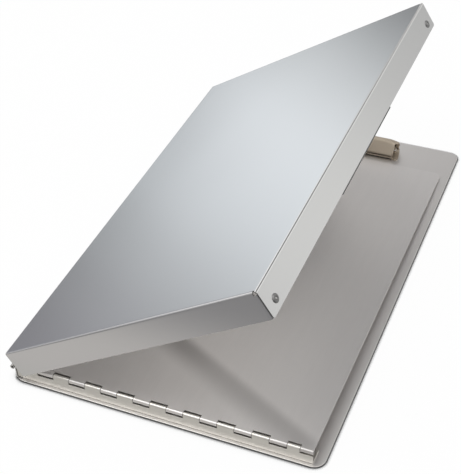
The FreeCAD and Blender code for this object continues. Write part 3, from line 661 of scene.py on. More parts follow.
class Workshop:
    """Keeps the materials and hangs each finished piece on its body."""

    def __init__(self) -> None:
        """Build the shared effects."""
        self.effects = Effects()
        self.made: dict[str, bpy.types.Material] = {}

    def material(self, finish: MetalFinish) -> bpy.types.Material:
        """Give a finish's material, made once.

        Args:
            finish: The finish.

        Returns:
            Its material.
        """
        if finish.name not in self.made:
            self.made[finish.name] = finish.material(self.effects)
        return self.made[finish.name]

    def piece(self, name: str, mesh: Mesh, finish: MetalFinish, body: Body,
              replaces: Sequence[str] = ()) -> bpy.types.Object:
        """Turn a mesh into a piece that moves with a body.

        Args:
            name: The piece's name.
            mesh: Its mesh in metres, which is freed.
            finish: Its finish.
            body: The body that it moves with.
            replaces: Nodes that it stands for.

        Returns:
            The piece.
        """
        loose = [vertex for vertex in mesh.verts if not vertex.link_faces]
        bmesh.ops.delete(mesh, geom=loose, context="VERTS")
        bmesh.ops.remove_doubles(mesh, verts=mesh.verts, dist=MERGE)
        bmesh.ops.recalc_face_normals(mesh, faces=mesh.faces)
        for face in mesh.faces:
            face.smooth = True
        made = new_object(name, mesh)
        made.data.materials.append(self.material(finish))
        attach(made, body.value)
        if replaces:
            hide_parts(*replaces)
        LOG.info("%s: %d faces before its modifiers", name, len(made.data.polygons))
        return made


def new_object(name: str, mesh: Mesh) -> bpy.types.Object:
    """Turn a mesh into an object of the scene.

    Args:
        name: The object's name.
        mesh: Its mesh in metres, which is freed.

    Returns:
        The object.
    """
    data = bpy.data.meshes.new(name)
    mesh.to_mesh(data)
    mesh.free()
    made = bpy.data.objects.new(name, data)
    bpy.context.scene.collection.objects.link(made)
    return made


def thicken(piece: bpy.types.Object, sheet: float, rim: Optional[bpy.types.Material] = None) -> None:
    """Give a surface its sheet's thickness, half to each side.

    Args:
        piece: The piece.
        sheet: Thickness in millimetres.
        rim: Material of the cut edges, where it differs.
    """
    made = piece.modifiers.new("sheet", "SOLIDIFY")
    made.thickness = sheet * MM
    made.offset = 0.0
    made.use_even_offset = True
    made.use_rim = True
    if rim is not None:
        piece.data.materials.append(rim)
        made.material_offset_rim = 1


def soften(piece: bpy.types.Object, width: float = 0.12, segments: int = 2, angle: float = 34.0) -> None:
    """Round the edges a little and shade the flats true.

    Args:
        piece: The piece.
        width: Width of the rounding in millimetres.
        segments: Its number of facets.
        angle: Edges that bend more than this many degrees are rounded.
    """
    made = piece.modifiers.new("edges", "BEVEL")
    made.width = width * MM
    made.segments = segments
    made.limit_method = "ANGLE"
    made.angle_limit = math.radians(angle)
    made.harden_normals = True
    shaded = piece.modifiers.new("shading", "WEIGHTED_NORMAL")
    shaded.keep_sharp = True
    shaded.weight = 100


# Mesh work


# Any direction that no wire starts along.
WIRE_SIDE = Vector((0.3, 1.0, 0.2))


def arc(centre: Point, radius: float, start: float, end: float, steps: int) -> list[Point]:
    """Points along an arc from one angle in degrees to another, both ends included."""
    turns = [math.radians(start + (end - start) * step / steps) for step in range(steps + 1)]
    return [(centre[0] + radius * math.cos(turn), centre[1] + radius * math.sin(turn)) for turn in turns]


def spaced(start: float, end: float, steps: int) -> list[float]:
    """Evenly spaced numbers, both ends included."""
    return [start + (end - start) * step / steps for step in range(steps + 1)]


def centred(count: int, spacing: float) -> list[float]:
    """Evenly spaced numbers about zero."""
    return [spacing * (number - (count - 1) / 2) for number in range(count)]


def corner_cut(radius: float, inset: float) -> float:
    """How far a rounded corner lies back from the square one, at a distance in from its side."""
    across = radius - min(max(inset, 0.0), radius)
    return radius - math.sqrt(radius ** 2 - across ** 2)


def surface(mesh: Mesh, grid: Sequence[Sequence[Vector]],
            keep: Optional[Callable[[int, int], bool]] = None) -> None:
    """Add a net of four-sided faces.

    Args:
        mesh: The mesh that it is added to.
        grid: Rows of points in millimetres.
        keep: Says whether the face after a row and a column is made.
    """
    rows = [[mesh.verts.new(point * MM) for point in row] for row in grid]
    for row in range(len(rows) - 1):
        for column in range(len(rows[0]) - 1):
            if keep is None or keep(row, column):
                mesh.faces.new((rows[row][column], rows[row + 1][column],
                                rows[row + 1][column + 1], rows[row][column + 1]))


def join_rings(mesh: Mesh, rings: Sequence[Sequence[bmesh.types.BMVert]]) -> None:
    """Add the faces between one ring of points and the next.

    Args:
        mesh: The mesh that they are added to.
        rings: The rings, with equal numbers of points; a pole is one point repeated.
    """
    for lower, upper in zip(rings, rings[1:]):
        for step in range(len(lower)):
            after = (step + 1) % len(lower)
            corners = list(dict.fromkeys((lower[step], lower[after], upper[after], upper[step])))
            if len(corners) > 2:
                mesh.faces.new(corners)


def lathe(mesh: Mesh, profile: Sequence[Point], place: Matrix, steps: int = 28) -> None:
    """Turn a profile of radius and height about an axis.

    Args:
        mesh: The mesh that it is added to.
        profile: Radius and height, from one pole to the other.
        place: Brings the axis from +Z to its place, in millimetres.
        steps: Facets round the axis.
    """
    turns = [2 * math.pi * step / steps for step in range(steps)]
    rings = []
    for radius, height in profile:
        if radius < TINY:
            rings.append([mesh.verts.new(place @ Vector((0, 0, height)) * MM)] * steps)
        else:
            rings.append([mesh.verts.new(
                place @ Vector((radius * math.cos(turn), radius * math.sin(turn), height)) * MM)
                for turn in turns])
    join_rings(mesh, rings)


def tube(mesh: Mesh, line: Sequence[Vector], radius: float, steps: int = 10) -> None:
    """Run a round wire along a line and close its ends.

    Args:
        mesh: The mesh that it is added to.
        line: Points in millimetres.
        radius: The wire's radius.
        steps: Facets round it.
    """
    turns = [2 * math.pi * step / steps for step in range(steps)]
    rings = []
    side = WIRE_SIDE
    for number, point in enumerate(line):
        ahead = (line[min(number + 1, len(line) - 1)] - line[max(number - 1, 0)]).normalized()
        side = (side - ahead * side.dot(ahead)).normalized()
        other = ahead.cross(side)
        rings.append([mesh.verts.new((point + side * radius * math.cos(turn)
                                      + other * radius * math.sin(turn)) * MM) for turn in turns])
    join_rings(mesh, rings)
    mesh.faces.new(rings[0][::-1])
    mesh.faces.new(rings[-1])


# Hinges

# Chamfer of a pin as a share of its radius.
CHAMFER_SHARE = 0.25
# Space left at each end of a pin's hinge.
PIN_INSET = 0.4
# Rounding of a pin's edges.
PIN_EDGE = 0.05


def build_pin(shop: Workshop, name: str, node: str, finish: MetalFinish, radius: float, length: float,
              place: Matrix) -> None:
    """Build a hinge's pin with chamfered ends.

    Args:
        shop: Where pieces are finished.
        name: The piece's name.
        node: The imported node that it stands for.
        finish: Its finish.
        radius: Its radius.
        length: Length of its hinge.
        place: Brings the pin from +Z to its place, in millimetres.
    """
    chamfer = radius * CHAMFER_SHARE
    start, end = PIN_INSET, length - PIN_INSET
    profile = [(0.0, start), (radius - chamfer, start), (radius, start + chamfer),
               (radius, end - chamfer), (radius - chamfer, end), (0.0, end)]
    mesh = bmesh.new()
    lathe(mesh, profile, place)
    soften(shop.piece(name, mesh, finish, Body.BASE, [node]), PIN_EDGE)


@dataclass
class RolledHinge:
    """What the leaves of a hinge with rolled knuckles have in common.

    Attributes:
        length: Length of the hinge.
        sheet: Thickness of its leaves.
        bore: Radius inside a knuckle.
        spacing: From one knuckle to the next.
        gap: Space between two knuckles.
        end_knuckle: Length of the first two knuckles.
        slot: Open space between a knuckle and the other leaf's notch.
        curl: Degrees that a knuckle is rolled through.
        pin: Radius of its pin.
        edge: Rounding of the leaves' edges.
        curl_steps: Facets of a knuckle.
        bend_steps: Facets of a bend beside a foot.
    """

    length: float
    sheet: float = 0.8
    bore: float = 0.98
    spacing: float = 12.7
    gap: float = 0.3
    end_knuckle: float = 9.2
    slot: float = 0.3
    curl: float = 322.0
    pin: float = 0.95
    edge: float = 0.1
    curl_steps: int = 30
    bend_steps: int = 6

    @property
    def middle_radius(self) -> float:
        """Radius of the middle of the rolled sheet."""
        return self.bore + self.sheet / 2

    @property
    def notch(self) -> float:
        """How far from the pin the other leaf is cut back."""
        return self.outer_radius + self.slot

    @property
    def outer_radius(self) -> float:
        """Radius outside a knuckle."""
        return self.bore + self.sheet

    def spans(self, held: Knuckles) -> list[Point]:
        """Where a leaf's knuckles start and end, from the hinge's start.

        Args:
            held: Which knuckles the leaf holds.

        Returns:
            Their starts and ends.
        """
        cuts = [0.0, self.end_knuckle]
        place = 2 * self.end_knuckle
        while place + self.spacing < self.length - self.end_knuckle:
            cuts.append(place)
            place += self.spacing
        cuts.extend((place, self.length))
        spans = list(zip(cuts, cuts[1:]))[held.value::2]
        half = self.gap / 2
        return [(start + (half if start > 0 else 0.0), end - (half if end < self.length else 0.0))
                for start, end in spans]

    def leaf(self, mesh: Mesh, held: Knuckles, flat: Section, start: float, way: int, place: Place,
             extra: Iterable[float] = ()) -> None:
        """Add a leaf: its flat and bent part, and the knuckles rolled from it.

        Args:
            mesh: The mesh that it is added to.
            held: Which knuckles it holds.
            flat: Gives the section of the part that runs through, ending where the notches end.
            start: Angle about the pin at which the roll starts.
            way: 1 where it goes on anticlockwise, and -1 where it goes on clockwise.
            place: Brings a place along the hinge and a point of the section into the frame.
            extra: More places along the hinge that get a row of points.
        """
        spans = self.spans(held)
        stations = sorted({0.0, self.length, *extra, *(edge for span in spans for edge in span)})
        curl = arc((0.0, 0.0), self.middle_radius, start, start + way * self.curl, self.curl_steps)
        count = len(flat(0.0))

        def held_here(row: int, column: int) -> bool:
            """Say whether there is sheet after a row and a column, and no notch."""
            middle = (stations[row] + stations[row + 1]) / 2
            return column < count - 1 or any(low <= middle <= high for low, high in spans)

        grid = [[place(station, point) for point in [*flat(station), *curl]] for station in stations]
        surface(mesh, grid, held_here)


@dataclass
class NearHinge:
    """Hinge along the near edge: an upright strip with a foot, and the writing plate rolled onto it.

    Attributes:
        left: Where the hinge starts on the left.
        tab_end: Where the strip's tab in front of the side hinge ends.
        pin_y: Place of the pin.
        pin_z: Height of the pin.
        foot: How far the foot reaches back from the strip's face.
        bend: Radius of the middle of the bend between strip and foot.
        base_top: Height of the base plate's face.
        reach: How far the writing plate reaches from the pin.
        slope: Degrees that the writing plate slopes down.
        corner: Radius of its far corners.
        strip_slot: Open space under the writing plate's knuckles.
        plate_slot: Open space behind the strip's knuckles.
        strip_row: Height of a row of points above the strip's foot.
        tab_foot: How far the tab stays above the middle of the foot.
        tab_top: Upper edge of the tab from the pin.
        reach_shares: Rows of the writing plate as shares of the way from its far edge to the notches.
        corner_shares: Rows in a far corner as shares of its radius.
        hinge: Sizes of the rolled hinge.
    """

    left: float = -111.25
    tab_end: float = -115.3
    pin_y: float = -187.22
    pin_z: float = 11.2
    foot: float = 12.0
    bend: float = 0.45
    base_top: float = 1.0
    reach: float = 340.7
    slope: float = 1.628
    corner: float = 5.0
    strip_slot: float = 1.0
    plate_slot: float = 0.5
    strip_row: float = 3.5
    tab_foot: float = 0.9
    tab_top: float = -1.6
    reach_shares: tuple[float, ...] = (0.0, 0.03, 0.25, 0.5, 0.75, 1.0)
    corner_shares: tuple[float, ...] = (0.04, 0.12, 0.25, 0.42, 0.65, 1.0)
    hinge: RolledHinge = field(default_factory=lambda: RolledHinge(222.25))

    def build(self, shop: Workshop) -> None:
        """Build the strip, the writing plate and the pin.

        Args:
            shop: Where pieces are finished.
        """
        self._strip(shop)
        self._plate(shop)
        place = Matrix.Translation((self.left, self.pin_y, self.pin_z)) @ TO_RIGHT
        build_pin(shop, "near_pin", "near_hinge_pin", PIN_STEEL, self.hinge.pin, self.hinge.length, place)

    def _place(self, station: float, point: Point) -> Vector:
        """Bring a point of the strip's section into the frame; the hinge starts on the right."""
        return Vector((self.left + self.hinge.length - station, self.pin_y + point[0],
                       self.pin_z + point[1]))

    def _strip(self, shop: Workshop) -> None:
        """Build the strip with its foot and the even knuckles.

        Args:
            shop: Where pieces are finished.
        """
        hinge = self.hinge
        side = -hinge.middle_radius
        floor = self.base_top - self.pin_z + hinge.sheet / 2
        flat = [(self.foot - hinge.outer_radius, floor)]
        flat += arc((side + self.bend, floor + self.bend), self.bend, -90, -180, hinge.bend_steps)
        flat += [(side, floor + self.strip_row), (side, -hinge.outer_radius - self.strip_slot)]
        mesh = bmesh.new()
        hinge.leaf(mesh, Knuckles.EVEN, lambda station: flat, 180.0, -1, self._place)
        heights = spaced(floor + self.tab_foot, self.tab_top, 3)
        surface(mesh, [[self._place(hinge.length + step, (side, z)) for z in heights]
                       for step in spaced(0.0, self.left - self.tab_end, 3)])
        piece = shop.piece("near_strip", mesh, HINGE_STRIP, Body.BASE, ["near_hinge_leaf"])
        thicken(piece, hinge.sheet)
        soften(piece, hinge.edge)

    def _plate(self, shop: Workshop) -> None:
        """Build the writing plate with the odd knuckles, sloping down to the base's far part.

        Args:
            shop: Where pieces are finished.
        """
        hinge = self.hinge
        cut_back = hinge.outer_radius + self.plate_slot
        turn = Matrix.Rotation(-math.radians(self.slope), 4, "X")

        def place(station: float, point: Point) -> Vector:
            """Bring a point of the sloping sheet's section into the frame."""
            return self._place(station, (0.0, 0.0)) + turn @ Vector((0.0, *point))

        def flat(station: float) -> list[Point]:
            """Section of the sheet, which is shorter where its far corners are rounded.

            Args:
                station: Place along the hinge.

            Returns:
                The section's points.
            """
            inset = min(station, hinge.length - station)
            far = self.reach - corner_cut(self.corner, inset)
            return [(far + (cut_back - far) * share, hinge.middle_radius) for share in self.reach_shares]

        ends = [self.corner * share for share in self.corner_shares]
        rows = ends + [hinge.length - end for end in ends] + spaced(20.0, 200.0, 8)
        mesh = bmesh.new()
        hinge.leaf(mesh, Knuckles.ODD, flat, 90.0, 1, place, rows)
        piece = shop.piece("writing_sheet", mesh, PLATE_SHEET, Body.PLATE, ["writing_plate"])
        thicken(piece, hinge.sheet)
        soften(piece, hinge.edge)


@dataclass
class SideHinge:
    """Hinge of the cover: a leaf with a foot on the base, and a leaf on the cover's wall.

    Attributes:
        pin_x: Place of the pin.
        pin_z: Height of the pin.
        middle_y: Middle of the hinge.
        foot: Width of the foot.
        bend: Radius of the middle of the bend.
        base_top: Height of the base plate's face.
        rise: How far the cover's leaf reaches from the pin.
        opening: Degrees that the cover stands open.
        lead: How far the first knuckle stands out in front of the leaves.
        relief_x: How far from the pin the foot is cut back for the near hinge's foot.
        relief_y: Where that cut ends.
        leaf_row: A row of points on the cover's leaf, from the pin.
        hinge: Sizes of the rolled hinge.
    """

    pin_x: float = -117.38
    pin_z: float = 12.2
    middle_y: float = -0.5
    foot: float = 9.0
    bend: float = 1.0
    base_top: float = 1.0
    rise: float = 9.0
    opening: float = 32.0
    lead: float = 1.4
    relief_x: float = 5.5
    relief_y: float = -176.4
    leaf_row: float = 5.0
    hinge: RolledHinge = field(default_factory=lambda: RolledHinge(378.0, slot=0.35))

    @property
    def cover_place(self) -> Matrix:
        """Brings the closed cover, drawn about the pin, to where it rests."""
        return Matrix.Translation((self.pin_x, self.middle_y, self.pin_z)) @ Matrix.Rotation(
            math.radians(self.opening), 4, Vector((0, -1, 0)))

    @property
    def _start(self) -> float:
        """Near end of the hinge."""
        return self.middle_y - self.hinge.length / 2

    def build(self, shop: Workshop) -> None:
        """Build both leaves and the pin.

        Args:
            shop: Where pieces are finished.
        """
        self._base_leaf(shop)
        self._cover_leaf(shop)
        place = Matrix.Translation((self.pin_x, self._start, self.pin_z)) @ TO_BACK
        build_pin(shop, "side_pin", "side_hinge_pin", PIN_STEEL, self.hinge.pin, self.hinge.length, place)

    def _base_leaf(self, shop: Workshop) -> None:
        """Build the leaf on the base, with its foot and the even knuckles.

        Args:
            shop: Where pieces are finished.
        """
        hinge = self.hinge
        side = hinge.middle_radius
        floor = self.base_top - self.pin_z + hinge.sheet / 2
        flat = [(hinge.bore + self.foot, floor)]
        flat += arc((side + self.bend, floor + self.bend), self.bend, -90, -180, hinge.bend_steps)
        flat += [(side, -hinge.notch)]
        mesh = bmesh.new()
        hinge.leaf(mesh, Knuckles.EVEN, lambda along: flat, 0.0, 1, self._on_base)
        relief = [face for face in mesh.faces if self._in_relief(face.calc_center_median() / MM)]
        bmesh.ops.delete(mesh, geom=relief, context="FACES")
        piece = shop.piece("side_leaf_on_base", mesh, SHADED_SIDE_HINGE, Body.BASE, ["side_base_leaf"])
        thicken(piece, hinge.sheet)
        soften(piece, hinge.edge)

    def _cover_leaf(self, shop: Workshop) -> None:
        """Build the leaf on the cover's wall, with the odd knuckles.

        Args:
            shop: Where pieces are finished.
        """
        hinge = self.hinge
        flat = [(hinge.middle_radius, height) for height in (self.rise, self.leaf_row, hinge.notch)]
        mesh = bmesh.new()
        hinge.leaf(mesh, Knuckles.ODD, lambda along: flat, 0.0, -1, self._on_cover)
        piece = shop.piece("side_leaf_on_cover", mesh, SHADED_SIDE_HINGE, Body.COVER, ["side_cover_leaf"])
        thicken(piece, hinge.sheet)
        soften(piece, hinge.edge)

    def _on_base(self, along: float, point: Point) -> Vector:
        """Bring a point of the base's leaf into the frame."""
        return Vector((self.pin_x + point[0], self._start + along, self.pin_z + point[1]))

    def _on_cover(self, along: float, point: Point) -> Vector:
        """Bring a point of the cover's leaf into the frame, with the first knuckle drawn out.

        Args:
            along: Place along the hinge.
            point: Point of the section, from the pin.

        Returns:
            The point in the frame.
        """
        curled = math.hypot(*point) < self.hinge.outer_radius
        ahead = self.lead if along < TINY and curled else 0.0
        return self.cover_place @ Vector((point[0], along - self.hinge.length / 2 - ahead, point[1]))

    def _in_relief(self, middle: Vector) -> bool:
        """Say whether a face of the foot lies where the near hinge's foot is."""
        return (middle.z < self.base_top + self.bend and middle.y < self.relief_y
                and middle.x > self.pin_x + self.relief_x)


# Base and cover


@dataclass
class BasePlate:
    """Flat plate with rounded corners.

    Attributes:
        width: Its width.
        length: Its length.
        sheet: Its thickness.
        corner: Radius of its corners.
        edge: Rounding of its edges.
        facets: Facets of a corner.
    """

    width: float = 237.2
    length: float = 383.0
    sheet: float = 1.0
    corner: float = 9.0
    edge: float = 0.42
    facets: int = 12

    def build(self, shop: Workshop) -> None:
        """Build the plate.

        Args:
            shop: Where pieces are finished.
        """
        across, along = self.width / 2 - self.corner, self.length / 2 - self.corner
        ring: list[Point] = []
        for quarter, (right, back) in enumerate(((1, -1), (1, 1), (-1, 1), (-1, -1))):
            start = 90 * (quarter - 1)
            ring += arc((right * across, back * along), self.corner, start, start + 90, self.facets)
        mesh = bmesh.new()
        face = mesh.faces.new([mesh.verts.new(Vector((x, y, self.sheet)) * MM) for x, y in ring])
        grown = bmesh.ops.extrude_face_region(mesh, geom=[face])
        lower = [item for item in grown["geom"] if isinstance(item, bmesh.types.BMVert)]
        bmesh.ops.translate(mesh, verts=lower, vec=(0, 0, -self.sheet * MM))
        piece = shop.piece("base_sheet", mesh, BASE_SHEET, Body.BASE, ["base_plate"])
        soften(piece, self.edge, 3)


@dataclass
class CoverPan:
    """Deep cover folded from one sheet, with riveted corners on its free side.

    Attributes:
        left: Outer face of the hinge-side wall from the pin.
        right: Outer face of the free wall from the pin.
        half_length: Half its length.
        bottom: Lower edge, closed, from the pin.
        top: Upper face, closed, from the pin.
        sheet: Thickness of the sheet.
        bend: Outer radius of the bends.
        corner_bend: Outer radius where the end walls turn in behind the free wall.
        flap_end: How far the free wall's ends lie inside the end walls' faces.
        end_radius: Radius of the free wall's lower corners.
        tab: Length of the tabs behind the free wall.
        short_wall: Lower edge of the hinge-side wall.
        wave: Height of the face's faint waves.
        place: Brings the closed cover to where it rests.
        edge: Rounding of the edges.
        facets: Facets of a bend.
        end_steps: Rows of the face close to each end, from where the end's bend starts.
        wall_rows: Heights of the rows of points on the end walls, from the pin.
    """

    place: Matrix
    left: float = 1.783
    right: float = 232.977
    half_length: float = 190.4
    bottom: float = -10.05
    top: float = 12.147
    sheet: float = 0.8
    bend: float = 1.6
    corner_bend: float = 2.4
    flap_end: float = 0.5
    end_radius: float = 2.0
    tab: float = 22.0
    short_wall: float = 2.08
    wave: float = 0.05
    edge: float = 0.14
    facets: int = 6
    end_steps: tuple[float, ...] = (0.0, 0.6, 1.4, 2.4, 4.0)
    wall_rows: tuple[float, ...] = (9.3, 6.9, 4.5, 2.08, -1.0, -4.0, -7.0, -9.0)

    def build(self, shop: Workshop) -> None:
        """Build the pan.

        Args:
            shop: Where pieces are finished.
        """
        mesh = bmesh.new()
        self._face(mesh)
        self._free_wall(mesh)
        for side in (-1, 1):
            self._end_wall(mesh, side)
            self._round_corner(mesh, side)
        self._hinge_wall(mesh)
        bmesh.ops.transform(mesh, matrix=self._metres(), verts=mesh.verts)
        piece = shop.piece("folded_cover", mesh, COVER_SHEET, Body.COVER, ["cover_pan"])
        thicken(piece, self.sheet, shop.material(SHADED_CUT_EDGE))
        soften(piece, self.edge)

    def _metres(self) -> Matrix:
        """Turn the resting place into a matrix for a mesh that is in metres already.

        Returns:
            The matrix.
        """
        moved = self.place.copy()
        moved.translation *= MM
        return moved

    @property
    def _middle(self) -> float:
        """Radius of the middle of a bent sheet."""
        return self.bend - self.sheet / 2

    @property
    def _face_x(self) -> list[float]:
        """Columns of the face, with one where the end walls start to turn in."""
        turn = self.right - self.sheet - self.corner_bend
        return spaced(self.left + self.bend, turn, 44) + [self.right - self.bend]

    @property
    def _face_y(self) -> list[float]:
        """Rows of the face, close together near both ends.

        Returns:
            Their places along the cover.
        """
        flat = self.half_length - self.bend
        near = [-flat + step for step in self.end_steps]
        return near + spaced(-flat + 12.0, flat - 12.0, 60) + [-row for row in reversed(near)]

    @property
    def _rows(self) -> list[float]:
        """Heights down an end wall."""
        return [self.top - self.bend, *self.wall_rows, self.bottom]

    def _height(self, x: float, y: float) -> float:
        """Height of the face's middle, with waves that fade out at the bends.

        Args:
            x: Place across the cover, from the pin.
            y: Place along it, from its middle.

        Returns:
            The height from the pin.
        """
        across = (x - self.left - self.bend) / (self.right - self.left - 2 * self.bend)
        along = (y / (self.half_length - self.bend) + 1) / 2
        fade = 16 * across * (1 - across) * along * (1 - along)
        broad = math.sin(0.031 * x + 0.6) * math.sin(0.017 * y + 1.1)
        slanted = 0.5 * math.sin(0.05 * x - 0.024 * y)
        return self.top - self.sheet / 2 + self.wave * fade * (broad + slanted)

    def _face(self, mesh: Mesh) -> None:
        """Add the large face."""
        surface(mesh, [[Vector((x, y, self._height(x, y))) for y in self._face_y] for x in self._face_x])

    def _free_wall(self, mesh: Mesh) -> None:
        """Add the long free wall with its bend and its rounded lower corners.

        Args:
            mesh: The pan's mesh.
        """
        end = self.half_length - self.flap_end
        extra = [end - step for step in (0.0, 0.3, 0.7)]
        stations = sorted([*self._face_y, *extra, *(-row for row in extra)])
        bend = arc((self.right - self.bend, self.top - self.bend), self._middle, 90, 0, self.facets)
        wall_x = self.right - self.sheet / 2
        grid = []
        for station in stations:
            rise = corner_cut(self.end_radius, end - abs(station))
            rows = spaced(self.top - self.bend, self.bottom + rise, 8)[1:]
            grid.append([Vector((x, station, z)) for x, z in bend]
                        + [Vector((wall_x, station, z)) for z in rows])
        surface(mesh, grid)

    def _end_wall(self, mesh: Mesh, side: int) -> None:
        """Add an end wall with its bend, its turned left corner and its tab behind the free wall.

        Args:
            mesh: The pan's mesh.
            side: -1 for the near wall and 1 for the far one.
        """
        flat = self.half_length - self.bend
        middle_y = self.half_length - self.sheet / 2
        top_bend = arc((flat, self.top - self.bend), self._middle, 90, 0, self.facets)
        turn = self.right - self.sheet - self.corner_bend
        surface(mesh, [[Vector((x, side * y, z)) for y, z in top_bend] for x in self._face_x[:-1]])
        left = [(self.left + self.bend - self._middle * math.cos(math.radians(angle)),
                 flat + self._middle * math.sin(math.radians(angle)))
                for angle in spaced(0, 90, self.facets)]
        plan = left + [(x, middle_y) for x in self._face_x[1:-1]]
        surface(mesh, [[Vector((x, side * y, z)) for z in self._rows] for x, y in plan])
        inner = self.corner_bend - self.sheet / 2
        behind = self.half_length - self.corner_bend
        corner = arc((turn, behind), inner, 90, 0, 8)
        tail = [(turn + inner, behind - step) for step in spaced(2.0, self.tab - self.corner_bend, 4)]
        surface(mesh, [[Vector((x, side * y, z)) for z in self._rows[1:]] for x, y in corner])
        surface(mesh, [[Vector((x, side * y, z)) for z in self._rows[1:-1]] for x, y in corner[-1:] + tail])

    def _round_corner(self, mesh: Mesh, side: int) -> None:
        """Add the rounded corner between face, end wall and hinge-side wall.

        Args:
            mesh: The pan's mesh.
            side: -1 for the near corner and 1 for the far one.
        """
        turns = [math.radians(turn) for turn in spaced(0, 90, self.facets)]
        grid = []
        for down in turns:
            rim = self._middle * math.sin(down)
            height = self.top - self.bend + self._middle * math.cos(down)
            grid.append([Vector((self.left + self.bend - rim * math.cos(turn),
                                 side * (self.half_length - self.bend + rim * math.sin(turn)), height))
                         for turn in turns])
        surface(mesh, grid)

    def _hinge_wall(self, mesh: Mesh) -> None:
        """Add the short wall above the hinge.

        Args:
            mesh: The pan's mesh.
        """
        bend = arc((self.left + self.bend, self.top - self.bend), self._middle, 90, 180, self.facets)
        rows = [row for row in self.wall_rows if row >= self.short_wall]
        wall_x = self.left + self.sheet / 2
        surface(mesh, [[Vector((x, y, z)) for x, z in bend] + [Vector((wall_x, y, z)) for z in rows]
                       for y in self._face_y])


@dataclass
class LatchStrip:
    """Spring strip inside the free wall, with a lip that comes out under the wall's edge.

    Attributes:
        place: Brings the closed cover to where it rests.
        x: Middle of the strip from the pin.
        lip_end: Outer edge of the lip.
        top: Upper edge of the strip.
        rows: Heights of rows of points between the upper edge and the lip.
        lip_z: Middle of the lip.
        lip_bend: Radius of the middle of the bend to the lip.
        lip_share: How far the lip's corners are cut, as a share of the upper ones.
        half_length: Half its length.
        sheet: Its thickness.
        corner: Radius of its upper corners.
        corner_rows: Rows in a corner, from the strip's end.
        edge: Rounding of the edges.
    """

    place: Matrix
    x: float = 231.88
    lip_end: float = 232.98
    top: float = -2.05
    rows: Point = (-5.0, -9.0)
    lip_z: float = -10.62
    lip_bend: float = 0.5
    lip_share: float = 0.4
    half_length: float = 58.0
    sheet: float = 0.6
    corner: float = 1.2
    corner_rows: tuple[float, ...] = (0.0, 0.15, 0.4, 0.75, 1.2)
    edge: float = 0.08

    def build(self, shop: Workshop) -> None:
        """Build the strip.

        Args:
            shop: Where pieces are finished.
        """
        ends = [self.half_length - row for row in self.corner_rows]
        grid = []
        for station in sorted([*(-end for end in ends), *spaced(-50.0, 50.0, 10), *ends]):
            cut = corner_cut(self.corner, self.half_length - abs(station))
            profile = [(self.x, self.top - cut), *((self.x, row) for row in self.rows)]
            profile += arc((self.x + self.lip_bend, self.lip_z + self.lip_bend), self.lip_bend, 180, 270, 5)
            profile.append((self.lip_end - cut * self.lip_share, self.lip_z))
            grid.append([self.place @ Vector((x, station, z)) for x, z in profile])
        mesh = bmesh.new()
        surface(mesh, grid)
        piece = shop.piece("latch_lip_strip", mesh, LATCH_STEEL, Body.COVER, ["latch_strip"])
        thicken(piece, self.sheet)
        soften(piece, self.edge)


